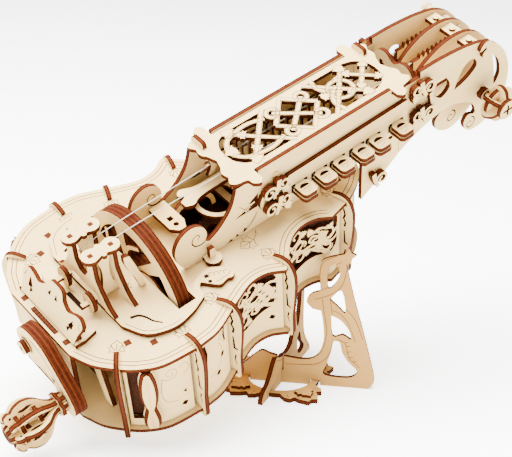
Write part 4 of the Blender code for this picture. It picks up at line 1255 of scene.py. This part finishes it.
def head_details():
    """Anchor knobs, crest, curls in the plates and the hook on the near side of the head."""
    for name, middle in (("far", 15.0), ("middle", 0.0), ("near", -15.0)):
        knob = arc(171.5, middle, 2.2, 0, 330, 11)
        board("anchor_knob_" + name, knob, flat(226.4), 1.8)
    crest = smooth([(-20.0, 222.0), (-14.0, 229.6), (-7.0, 230.6), (0.0, 226.4), (7.0, 230.6), (14.0, 229.6),
                    (20.0, 222.0)], 4) + [(20.0, 204.0), (-20.0, 204.0)]
    holes = [box(-12.5, -8.0, 218.0, 223.5), box(8.0, 12.5, 218.0, 223.5), box(-17.0, 17.0, 206.0, 214.5)]
    board("head_crest", crest, crosswise(120.5), holes=holes)
    for label, middle, volute in (("", WALL_Y, (171.2, 159.6)), ("inner_", INNER_HEAD_Y, (167.0, 158.5))):
        curl = quads(strap(spiral(*volute, 80, -1.35, 5.2, 0.6, 20), 1.1, 0.5))
        for side, sign in SIDES:
            mark_both_faces(f"head_curl_{label}{side}", curl, lengthwise(sign * middle))
    hook = closed([(170.0, 224.0), (173.0, 229.0), (178.0, 229.6), (181.0, 226.0), (178.6, 222.6),
                   (175.6, 224.4),
                   (176.6, 226.2), (173.8, 224.6)], 3)
    board("head_hook", hook, lengthwise(-25.4))
    board("head_hook_disc", circle(176.6, 219.4, 3.6, 18), lengthwise(-25.4))


# ---------------------------------------------------------------- stand

def inside(point, loops):
    """True where the point lies in the plate, outside its openings."""
    x, y = point
    crossings = 0
    for loop in loops:
        for (ax, ay), (bx, by) in zip(loop, loop[1:] + loop[:1]):
            if (ay > y) != (by > y) and x < ax + (y - ay) * (bx - ax) / (by - ay):
                crossings += 1
    return crossings % 2 == 1


STRAP_WIDTH = 5.0
# Centre lines of the interlaced straps on a stand board, each passing over the ones before it.
STRAPS = (
    ((28.0, 55.5), (37.0, 53.5), (44.5, 46.0), (50.0, 33.0)),
    ((36.0, 87.5), (27.0, 82.0), (26.5, 70.0), (29.0, 54.0), (31.5, 35.0), (25.0, 18.5), (3.0, 15.5)),
    ((20.0, 61.5), (29.0, 65.0), (35.5, 71.0), (38.0, 82.0)),
)


def strap_edges(loops):
    """Both edges of every strap, left out where another strap passes over or the board is open."""
    bands = [strap(smooth(line, 8), STRAP_WIDTH) for line in STRAPS]
    parts = []
    for number, band in enumerate(bands):
        over = bands[number + 1:]
        for edge in (band[:len(band) // 2], band[len(band) // 2:]):
            parts.append([])
            for point in edge:
                if inside(point, loops) and not any(inside(point, [other]) for other in over):
                    parts[-1].append(point)
                else:
                    parts.append([])
    return [part for part in parts if len(part) > 1]


def leaf_veins():
    """The middle vein of the leaf at the board's heel, and short veins off it."""
    middle = smooth([(36.0, 33.0), (41.5, 30.0), (44.0, 21.0), (51.0, 14.5)], 5)
    return [middle] + [[point, (point[0] + 2.6, point[1] + 0.4)] for point in middle[4:13:2]]


def stand_marks():
    """Engraved straps and veins on the stand's boards, and the leaves on the ring."""
    for side in BOARD_ANGLE:
        place = stand_place(side)
        loops = loops_of("stand_board_" + side, place, PLY / 2)
        runs = split(inset(loops[0], 2.0), 8.0) if side == "far" else []
        runs += strap_edges(loops) + [run for run in leaf_veins() if all(inside(p, loops) for p in run)]
        for face, sign in (("front", 1), ("back", -1)):
            engrave(f"stand_lines_{side}_{face}", runs, place, lift=sign * (PLY / 2 + MARK_LIFT))
    runs = []
    veins = ((-22, 26.0, 31.0), (0, 26.0, 36.0), (22, 26.0, 31.0), (-10, 28.0, 33.5), (10, 28.0, 33.5))
    for quarter in range(4):
        start = sum(BOARD_ANGLE.values()) / 2 + 90 * quarter
        for turn, inner, outer in veins:
            c, s = math.cos(math.radians(start + turn)), math.sin(math.radians(start + turn))
            runs.append([(inner * c, inner * s), (outer * c, outer * s)])
        stem = shifted([(25.5, 0)], 0, 0, start)[0]
        board(f"ring_leaf_{quarter + 1}", leaf(*stem, 11.0, start), ring_place(PLY + 1.0), 1.8, wood="stand")
    engrave("stand_ring_lines", runs, ring_place(PLY), width=0.4)


soundboard_marks()
rib_marks()
side_panels()
neck_panels()
balusters()
tail_details()
cradle_details()
trestle_details()
wheel_details()
crank_details()
handle()
lid()
for index, key_x in enumerate(KEY_X, 1):
    key(index, key_x)
wall_marks()
brackets()
keybox_inside()
tuner()
head_details()
stand_marks()
dress_frame()
camera()
floor()
studio()
